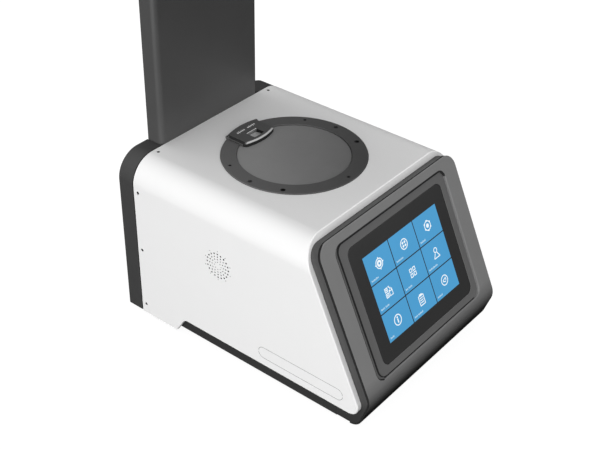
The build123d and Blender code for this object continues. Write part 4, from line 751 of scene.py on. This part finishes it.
def dressed_bezel():
    """Bezel with a rounded recess rim, a darker recess, a painted shadow line behind it, and
    painted shade on its side faces and on the recess's left and upper walls.
    """
    piece = merged_copy("front_bezel")
    round_pocket_rim(piece)
    soften(piece, BEZEL_SOFT)
    joint = BEZEL_EDGE / 2
    cut_across(piece, face_plane_point(joint), FACE_OUT)
    bezel, pocket = FINISHES["bezel_grey"], FINISHES["pocket_grey"]

    def choose(face):
        depth = face_depth(face.center)
        out = face.normal.dot(FACE_OUT)
        if not in_pocket(face.center, 2 * POCKET_RIM_RADIUS):
            # Painted shadow on the band behind the face and on the side faces
            behind = joint < depth < BEZEL_EDGE + SEAM_SHADE and out < BEZEL_BACK
            return PAINTED_SHADOW_BLACK if behind or abs(face.normal.x) > BEZEL_SIDE else bezel
        if out > BEZEL_FLAT:
            return pocket if abs(depth - POCKET_DEPTH) < ON_POCKET_FLOOR else bezel
        # Painted shadow on the recess's left wall, painted shade on its upper wall
        if face.normal.x > POCKET_WALL:
            return PAINTED_SHADOW_BLACK
        if face.normal.dot(FACE_UP) < -POCKET_WALL:
            return POCKET_SHADE
        return bezel

    paint(piece, (bezel, pocket, POCKET_SHADE, PAINTED_SHADOW_BLACK), choose)
    hand_over(piece, "instrument", None, ["front_bezel"])


def dressed_lid():
    """Lid whose block is darker than its disc, with a finger recess. A painted highlight lies on
    the front lip and on the recess's rear rim, painted light on the recess's floor and rear wall,
    and painted shadow on the block's sides, under the lip and on the recess's side walls.
    """
    piece = merged_copy("port_lid")
    top = max(vertex.co.z for vertex in piece.data.vertices)
    soften(piece, LID_SOFT)
    for drop in (LIP_TOP, LIP_BOTTOM, GRIP_RIM):
        cut_across(piece, (0, 0, top - drop), (0, 0, 1))
    disc = FINISHES["lid_grey"]

    def choose_in_grip(face, drop):
        if face.normal.y < -LID_FRONT:
            # Rear rim gets a painted highlight, rear wall painted light in the disc's grey
            return PRINT_AND_PAINTED_HIGHLIGHT if drop < GRIP_RIM else disc
        if face.normal.z > LID_LEVEL:
            # Floor gets painted light, the top of the rim the block's own colour
            return GRIP_FLOOR_PAINTED_LIGHT if drop > 2 * GRIP_RIM else BLOCK_DARK
        # Side walls of the recess get painted shadow
        return PAINTED_SHADOW_BLACK

    def choose(face):
        place = face.center - PORT
        drop = top - face.center.z
        if abs(place.x) < GRIP_HALF_WIDTH and GRIP_FRONT < place.y < GRIP_REAR:
            return choose_in_grip(face, drop)
        if place.z <= 0:
            behind = abs(place.x) < LID_BLOCK_HALF and place.y > LID_BLOCK_REAR
            return BLOCK_DARK if behind else disc
        # Side walls of the block get painted shadow
        if abs(face.normal.x) > LID_SIDE:
            return PAINTED_SHADOW_BLACK
        if place.y < GRIP_FRONT and face.normal.y < -LID_FRONT and drop > LIP_TOP:
            # Front lip gets a painted highlight, the face under it painted shadow
            return LIP_PAINTED_HIGHLIGHT if drop < LIP_BOTTOM else PAINTED_SHADOW_BLACK
        return BLOCK_DARK

    paint(piece, (disc, BLOCK_DARK, LIP_PAINTED_HIGHLIGHT, GRIP_FLOOR_PAINTED_LIGHT, PAINTED_SHADOW_BLACK, PRINT_AND_PAINTED_HIGHLIGHT), choose)
    hand_over(piece, "lid", None, ["port_lid"])


def dressed_grille():
    """Round speaker insert whose holes and their softened rims have painted shade inside."""
    piece = merged_copy("speaker_grille")
    soften(piece, GRILLE_SOFT, segments=1)
    middle = (GRILLE_LOW + GRILLE_HIGH) / 2
    inside = (GRILLE_HIGH.y - GRILLE_LOW.y) / 2 - GRILLE_RIM
    white = FINISHES["shell_white"]

    def choose(face):
        out = (face.center - middle).yz.length
        return GRILLE_SHADE if abs(face.normal.x) < GRILLE_FLAT and out < inside else white

    paint(piece, (white, GRILLE_SHADE), choose)
    hand_over(piece, "instrument", None, ["speaker_grille"])


def cover_glass():
    """Black cover glass with a softened rim."""
    piece = merged_copy("touch_glass")
    soften(piece, GLASS_SOFT, segments=3)
    hand_over(piece, "instrument", FINISHES["screen_glass"], ["touch_glass"])


# Flat shapes for marks


def flat_disc(radius, at=(0, 0), sides=CIRCLE_SIDES):
    """Filled circle."""
    deselect()
    bpy.ops.mesh.primitive_circle_add(
        vertices=sides, radius=radius, fill_type="NGON", location=(*at, 0)
    )
    return write_place(bpy.context.active_object)


def cut_middle(piece, line):
    """Turns a filled flat shape into an outline of this width."""
    edit_every_face(piece)
    bpy.ops.mesh.inset(thickness=line)
    bpy.ops.mesh.delete(type="FACE")
    leave_edit()
    return piece


def flat_ring(radius, line, at=(0, 0), sides=CIRCLE_SIDES):
    """Circle drawn with a line of this width."""
    return cut_middle(flat_disc(radius, at, sides), line)


def flat_bar(width, height, at=(0, 0), turn=0.0, corner=0.0):
    """Filled rectangle, turned by degrees and with rounded corners where asked."""
    deselect()
    bpy.ops.mesh.primitive_plane_add(size=1, location=(0, 0, 0))
    piece = bpy.context.active_object
    piece.scale = (width, height, 1)
    write_place(piece)
    if corner:
        edit_all(piece)
        bpy.ops.mesh.bevel(offset=corner, segments=CORNER_SEGMENTS, affect="VERTICES")
        leave_edit()
    turned = Matrix.Rotation(math.radians(turn), 4, "Z")
    seat(piece, Matrix.Translation((*at, 0)) @ turned)
    return piece


def flat_frame(width, height, line, at=(0, 0), corner=0.0):
    """Rectangle drawn with a line of this width."""
    return cut_middle(flat_bar(width, height, at, 0.0, corner), line)


def thicken(piece, thickness):
    """Gives flat shapes a thickness, upwards from where they lie."""
    apply_modifier(piece, "SOLIDIFY", thickness=thickness, offset=1.0)
    edit_all(piece)
    bpy.ops.mesh.normals_make_consistent(inside=False)
    leave_edit()


# Symbols of the nine tiles


def icon_target():
    """Ring round a thick ring, with a tick on each of its four sides."""
    size = 5.0 * MM
    return [flat_ring(size, MARK_LINE), flat_ring(3.1 * MM, 2.0 * MM)] + [
        flat_bar(1.0 * MM, 1.9 * MM, (math.cos(a) * size, math.sin(a) * size), math.degrees(a) + 90)
        for a in (0, math.pi / 2, math.pi, 3 * math.pi / 2)
    ]


def icon_petals():
    """Ring round four rounded squares that stand on their corners."""
    size = 2.1 * MM
    pitch = 1.55 * MM
    return [flat_ring(5.2 * MM, MARK_LINE)] + [
        flat_bar(size, size, (i * pitch, j * pitch), 45, 0.5 * MM) for i in (-1, 1) for j in (-1, 1)
    ]


def icon_nut():
    """Ring of twelve sides with six teeth, round a filled hexagon."""
    size = 4.6 * MM
    shapes = [flat_ring(4.9 * MM, 0.9 * MM, (0, 0), 12), flat_disc(2.2 * MM, (0, 0), 6)]
    for step in range(6):
        angle = math.pi * (step + 0.5) / 3
        spot = (math.cos(angle) * size, math.sin(angle) * size)
        shapes.append(flat_bar(1.6 * MM, 1.7 * MM, spot, math.degrees(angle)))
    return shapes


def icon_blocks():
    """Three framed squares and a few small loose ones."""
    pitch = 2.6 * MM
    dot = 1.5 * MM
    shapes = []
    for column, row in ((-1, 1), (-1, -1)):
        spot = (column * pitch, row * pitch)
        shapes.append(flat_frame(4.3 * MM, 4.3 * MM, 0.9 * MM, spot))
        shapes.append(flat_bar(dot, dot, spot))
    for column, row in ((0.5, 1.6), (1.1, 0.9), (0.5, 0.2), (1.7, 0.3)):
        shapes.append(flat_bar(dot, dot, (column * pitch, row * pitch)))
    shapes.append(flat_frame(4.9 * MM, 4.9 * MM, 0.75 * MM, (1.1 * pitch, -0.9 * pitch)))
    return shapes


def icon_squares():
    """Four rounded squares."""
    size = 3.9 * MM
    pitch = 2.45 * MM
    return [
        flat_frame(size, size, 0.85 * MM, (i * pitch, j * pitch), 0.5 * MM)
        for i in (-1, 1)
        for j in (-1, 1)
    ]


def icon_person():
    """Head and shoulders in outline."""
    return [
        flat_ring(2.7 * MM, 0.9 * MM, (0, 3.0 * MM)),
        flat_bar(MARK_LINE, 5.2 * MM, (-2.7 * MM, -1.9 * MM), -34),
        flat_bar(MARK_LINE, 5.2 * MM, (2.7 * MM, -1.9 * MM), 34),
        flat_bar(9.2 * MM, MARK_LINE, (0, -4.3 * MM), 0, 0.4 * MM),
    ]


def icon_info():
    """Ring round a stem with a dot over it."""
    return [
        flat_ring(5.3 * MM, 1.0 * MM),
        flat_bar(1.5 * MM, 4.0 * MM, (0, -0.9 * MM), 0, 0.3 * MM),
        flat_disc(MARK_LINE, (0, 2.4 * MM), 20),
    ]


def icon_list():
    """Clipboard with three lines on it."""
    shapes = [
        flat_frame(8.2 * MM, 9.9 * MM, MARK_LINE, (0, -0.5 * MM), 0.9 * MM),
        flat_bar(4.2 * MM, 2.2 * MM, (0, 4.5 * MM), 0, 0.5 * MM),
    ]
    for row in range(3):
        shapes.append(flat_bar(4.6 * MM, 0.9 * MM, (0, 1.7 * MM - row * 2.1 * MM)))
    return shapes


def icon_cycle():
    """Ring round two hooked strokes that face each other."""
    shapes = [flat_ring(5.2 * MM, MARK_LINE)]
    for side in (-1, 1):
        shapes.append(flat_bar(4.2 * MM, MARK_LINE, (side * 0.5 * MM, side * 1.3 * MM), side * 16))
        shapes.append(flat_bar(2.0 * MM, MARK_LINE, (side * 2.0 * MM, side * 0.2 * MM), 90))
    return shapes


ICONS = (
    (icon_target, icon_petals, icon_nut),
    (icon_blocks, icon_squares, icon_person),
    (icon_info, icon_list, icon_cycle),
)

# Bars in each word of the captions
LABELS = (
    ((9,), (9,), (7,)),
    ((5, 5), (3, 5), (12,)),
    ((5,), (4, 7), (7,)),
)


# Screen


def glass_place(x, y, lift):
    """Matrix of a spot on the glass, measured from the glass's middle."""
    origin = GLASS_FRONT + FACE_RIGHT * x + FACE_UP * y + FACE_OUT * lift
    return basis(origin, FACE_RIGHT, FACE_UP, FACE_OUT)


def label_bars(words):
    """Caption drawn as a row of small bars, every third one at full height."""
    bars = []
    x = 0.0
    for letters in words:
        for letter in range(letters):
            height = LABEL_HEIGHT * (1.0 if letter % 3 == 0 else LABEL_LOW_SHARE)
            bars.append(flat_bar(LABEL_BAR, height, (x, height / 2)))
            x += LABEL_PITCH
        x += LABEL_SPACE
    return bars


def screen_picture():
    """Nine blue tiles with white marks, lit, on the cover glass."""
    tile_width = (PICTURE_WIDTH - 2 * TILE_GAP) / 3
    tile_height = (PICTURE_HEIGHT - 2 * TILE_GAP) / 3
    tiles = []
    icons = []
    labels = []
    for row in range(3):
        for column in range(3):
            x = (column - 1) * (tile_width + TILE_GAP)
            y = (1 - row) * (tile_height + TILE_GAP)
            tiles.append(flat_bar(tile_width, tile_height, (x, y), 0, TILE_CORNER))
            icon = join(ICONS[row][column](), "icon")
            seat(icon, Matrix.Translation((x, y, 0)))
            icons.append(icon)
            label = join(label_bars(LABELS[row][column]), "label")
            corner = (x - tile_width / 2 + LABEL_IN, y - tile_height / 2 + LABEL_IN, 0)
            seat(label, Matrix.Translation(corner))
            labels.append(label)
    layers = (
        (tiles, "screen_tiles", TILE_BLUE, 0.0, TILE_THICK),
        (icons, "screen_icons", MARK_WHITE, TILE_THICK, MARK_THICK),
        (labels, "screen_labels", LABEL_WHITE, TILE_THICK, MARK_THICK),
    )
    for pieces, name, material, lift, thickness in layers:
        layer = join(pieces, name)
        thicken(layer, thickness)
        seat(layer, glass_place(0, 0, lift))
        hand_over(layer, "instrument", material)


# Marks and screws


def pocket_painted_shadow():
    """Painted shadow in the recess, a black band wide along its left and upper walls."""
    height = POCKET_RISE + POCKET_FALL
    piece = flat_bar(2 * POCKET_HALF_WIDTH, height, (0, 0), 0.0, POCKET_CORNER)
    outer = len(piece.data.vertices)
    cut_middle(piece, POCKET_SHADOW_WIDTH)
    for vertex in piece.data.vertices[outer:]:
        vertex.co.x += POCKET_SHADOW_SHIFT_RIGHT
        vertex.co.y -= POCKET_SHADOW_SHIFT_DOWN
    thicken(piece, TILE_THICK)
    seat(piece, glass_place(0, (POCKET_RISE - POCKET_FALL) / 2, 0))
    piece.name = "recess_painted_shadow"
    hand_over(piece, "instrument", PAINTED_SHADOW_BLACK)


def side_outline():
    """Long rounded outline, printed low on the left wall."""
    outline = flat_frame(OUTLINE_WIDTH, OUTLINE_HEIGHT, OUTLINE_LINE, (0, 0), OUTLINE_CORNER)
    thicken(outline, TILE_THICK)
    origin = Vector((SHELL_LOW.x + OUTLINE_SINK, OUTLINE_Y, OUTLINE_Z))
    seat(outline, basis(origin, Vector((0, -1, 0)), Vector((0, 0, 1)), Vector((-1, 0, 0))))
    outline.name = "side_outline"
    hand_over(outline, "instrument", LINE_GREY)


def lid_marks():
    """Generic lift marks on the lid's block, two rows of small bars."""
    shapes = []
    for start in LID_MARK_STARTS:
        for step in range(LID_MARK_COUNT):
            spot = (start + step * LID_MARK_PITCH, 0)
            shapes.append(flat_bar(LID_MARK_WIDTH, LID_MARK_HEIGHTS[step % 2], spot))
    marks = join(shapes, "lid_marks")
    thicken(marks, MARK_THICK)
    seat(marks, Matrix.Translation(PORT + Vector((0, LID_MARK_BACK, LID_BLOCK_TOP))))
    hand_over(marks, "lid", PRINT_AND_PAINTED_HIGHLIGHT)


def rocker_marks():
    """I and O on the two flats of the rocker."""
    faces = frame["nodes"]["rocker_switch"].data.polygons
    outer = [f for f in faces if f.normal.y > ROCKER_OUT and f.area > ROCKER_FLAT_AREA]
    right = Vector((-1, 0, 0))
    made = []
    for leans_up, shape in ((False, flat_bar(*ROCKER_BAR)), (True, flat_ring(*ROCKER_RING))):
        flats = [f for f in outer if (f.normal.z > ROCKER_LEAN) == leans_up]
        area = sum(f.area for f in flats)
        middle = sum((f.center * f.area for f in flats), Vector()) / area
        out = sum((f.normal * f.area for f in flats), Vector()).normalized()
        thicken(shape, ROCKER_MARK_THICK)
        seat(shape, basis(middle, right, out.cross(right), out))
        made.append(shape)
    hand_over(join(made, "rocker_marks"), "power_rocker", PRINT_AND_PAINTED_HIGHLIGHT)


def upright_prism(sides, radius, depth, height):
    """Prism of this depth whose middle is at a height."""
    deselect()
    bpy.ops.mesh.primitive_cylinder_add(
        vertices=sides, radius=radius, depth=depth, location=(0, 0, height)
    )
    return write_place(bpy.context.active_object)


def socket_screw(radius, socket, depth):
    """Screw head with a hexagonal socket; its top is at height 0, and its socket is depth deep."""
    head = upright_prism(SCREW_SIDES, radius, 2 * depth, -depth)
    tool = upright_prism(6, socket, 2 * depth, 0)
    apply_modifier(head, "BOOLEAN", object=tool, operation="DIFFERENCE", solver="EXACT")
    bpy.data.objects.remove(tool)
    soften(head, radius * SCREW_ROUNDING)
    return head


def copies(model, places, name):
    """One piece from copies of a model, each set at its place."""
    made = []
    for place in places:
        copy = new_piece(name, model.data.copy())
        seat(copy, place)
        made.append(copy)
    bpy.data.objects.remove(model)
    return join(made, name)


def shell_screws():
    """Dark socket screws along the rear edge of the shell."""
    y = SHELL_HIGH.y - SHELL_SCREW_SETBACK
    back = Vector((0, 1, 0))
    places = []
    for side in (-1, 1):
        out = Vector((side, 0, 0))
        x = side * (SHELL_HIGH.x - SHELL_SCREW_SINK)
        for height in SHELL_SCREW_HEIGHTS:
            origin = Vector((x, y, FOOT_HEIGHT + height))
            places.append(basis(origin, back, out.cross(back), out))
        origin = Vector((side * SHELL_SCREW_TOP_X, y, SHELL_HIGH.z - SHELL_SCREW_SINK))
        places.append(Matrix.Translation(origin))
    piece = copies(socket_screw(*SHELL_SCREW_SIZE), places, "shell_screw_heads")
    hand_over(piece, "instrument", FINISHES["screw_black"], ["shell_screws"])


def ring_screws():
    """Countersunk and headless screws of the port ring."""
    made = []
    for angles, radius, socket, sink in RING_SCREWS:
        places = []
        for angle in map(math.radians, angles):
            across = HOLE_CIRCLE * math.cos(angle)
            back = PORT.y + HOLE_CIRCLE * math.sin(angle)
            places.append(Matrix.Translation((across, back, PORT.z - sink)))
        screw = socket_screw(radius, socket, RING_SCREW_DEPTH)
        made.append(copies(screw, places, "ring_screw_heads"))
    piece = join(made, "ring_screw_heads")
    hand_over(piece, "instrument", FINISHES["screw_black"], ["flange_screws"])


def finish_other_nodes():
    """Gives the CAD nodes that no piece replaces their finish; their meshes stay as they are."""
    for node, piece in frame["nodes"].items():
        if piece.hide_render:
            continue
        for material_slot in piece.material_slots:
            material_slot.link = "OBJECT"
            material_slot.material = FINISHES[NODE_SLOTS[node]]
        for face in piece.data.polygons:
            face.use_smooth = False


# Stage, light and camera


def ray_share(tree, *kinds):
    """1 for rays of these kinds, 0 for the others."""
    rays = add_node(tree, "LightPath", {}).outputs
    share = rays[kinds[0]]
    for kind in kinds[1:]:
        either = add_node(tree, "Math", {0: share, 1: rays[kind]}, operation="MAXIMUM")
        share = either.outputs["Value"]
    return share


def stage_floor():
    """Floor that the camera sees white under the object's shadow, and that returns little light."""
    deselect()
    bpy.ops.mesh.primitive_plane_add(size=FLOOR_SIZE, location=(0, 0, -FLOOR_DROP))
    floor = bpy.context.active_object
    floor.name = "studio_floor"
    material, tree, shader = new_material("pale_floor")
    seen = ray_share(tree, "Is Camera Ray")
    bounce = (FLOOR_BOUNCE, FLOOR_BOUNCE, FLOOR_BOUNCE, 1)
    white = (FLOOR_WHITE, FLOOR_WHITE, FLOOR_WHITE, 1)
    inputs = {
        "Base Color": blended(tree, seen, bounce, white),
        "Roughness": 1.0,
        "Specular IOR Level": 0.0,
    }
    feed(tree, shader, inputs)
    glow = add_node(tree, "Emission", {"Color": (1, 1, 1, 1), "Strength": FLOOR_GLOW})
    share = add_node(tree, "Math", {0: seen, 1: FLOOR_GLOW_SHARE}, operation="MULTIPLY")
    inputs = {
        "Fac": share.outputs["Value"],
        1: shader.outputs["BSDF"],
        2: glow.outputs["Emission"],
    }
    blend = add_node(tree, "MixShader", inputs)
    feed(tree, tree.nodes["Material Output"], {"Surface": blend.outputs["Shader"]})
    floor.data.materials.append(material)


def studio_world():
    """White surround for the camera, and for the object a soft sky, brightest above its front."""
    world = bpy.data.worlds.new("studio")
    bpy.context.scene.world = world
    world.use_nodes = True
    tree = world.node_tree
    ray = add_node(tree, "TexCoord", {}).outputs["Generated"]
    toward = add_node(tree, "VectorMath", {0: ray, 1: SKY_BRIGHT}, operation="DOT_PRODUCT")
    inputs = {
        "Value": toward.outputs["Value"],
        "From Min": SKY_DARK_FROM,
        "From Max": SKY_FULL_FROM,
        "To Min": SKY_LOW,
        "To Max": SKY_HIGH,
    }
    sky = add_node(tree, "MapRange", inputs, interpolation_type="SMOOTHSTEP")
    seen = ray_share(tree, "Is Camera Ray", "Is Transmission Ray")
    inputs = {"Value": seen, "To Min": sky.outputs["Result"], "To Max": 1.0}
    strength = add_node(tree, "MapRange", inputs).outputs["Result"]
    feed(tree, tree.nodes["Background"], {"Color": (1, 1, 1, 1), "Strength": strength})


def studio_lamps():
    """Wide soft lamps that face the object."""
    for name, place, size, power, glints in SOFT_BOXES:
        data = bpy.data.lights.new(name, "AREA")
        data.shape = "RECTANGLE"
        data.size, data.size_y = size
        data.energy = power
        lamp = new_piece(name, data)
        lamp.location = place
        lamp.visible_glossy = glints
        lamp.rotation_mode = "QUATERNION"
        lamp.rotation_quaternion = (BOX_TARGET - Vector(place)).to_track_quat("-Z", "Y")


def photo_camera():
    """Camera at the photograph's place, direction and lens."""
    level = math.cos(CAMERA_PITCH)
    forward = Vector(
        (
            math.sin(CAMERA_AZIMUTH) * level,
            math.cos(CAMERA_AZIMUTH) * level,
            -math.sin(CAMERA_PITCH),
        )
    )
    right = forward.cross(Vector((0, 0, 1))).normalized()
    up = right.cross(forward)
    turned_right = right * math.cos(CAMERA_ROLL) + up * math.sin(CAMERA_ROLL)
    turned_up = up * math.cos(CAMERA_ROLL) - right * math.sin(CAMERA_ROLL)
    data = bpy.data.cameras.new("photo_camera")
    data.lens = CAMERA_LENS
    data.sensor_width = CAMERA_SENSOR
    data.clip_end = CAMERA_REACH
    camera = new_piece("photo_camera", data)
    camera.matrix_world = basis(CAMERA_PLACE, turned_right, turned_up, -forward)
    bpy.context.scene.camera = camera


photo_camera()
stage_floor()
studio_world()
studio_lamps()
softened_housing()
dressed_shell()
dressed_rear()
dressed_neck()
dressed_bezel()
dressed_lid()
dressed_grille()
cover_glass()
screen_picture()
pocket_painted_shadow()
side_outline()
lid_marks()
rocker_marks()
shell_screws()
ring_screws()
finish_other_nodes()

bpy.context.scene.view_settings.view_transform = "Standard"
deselect()
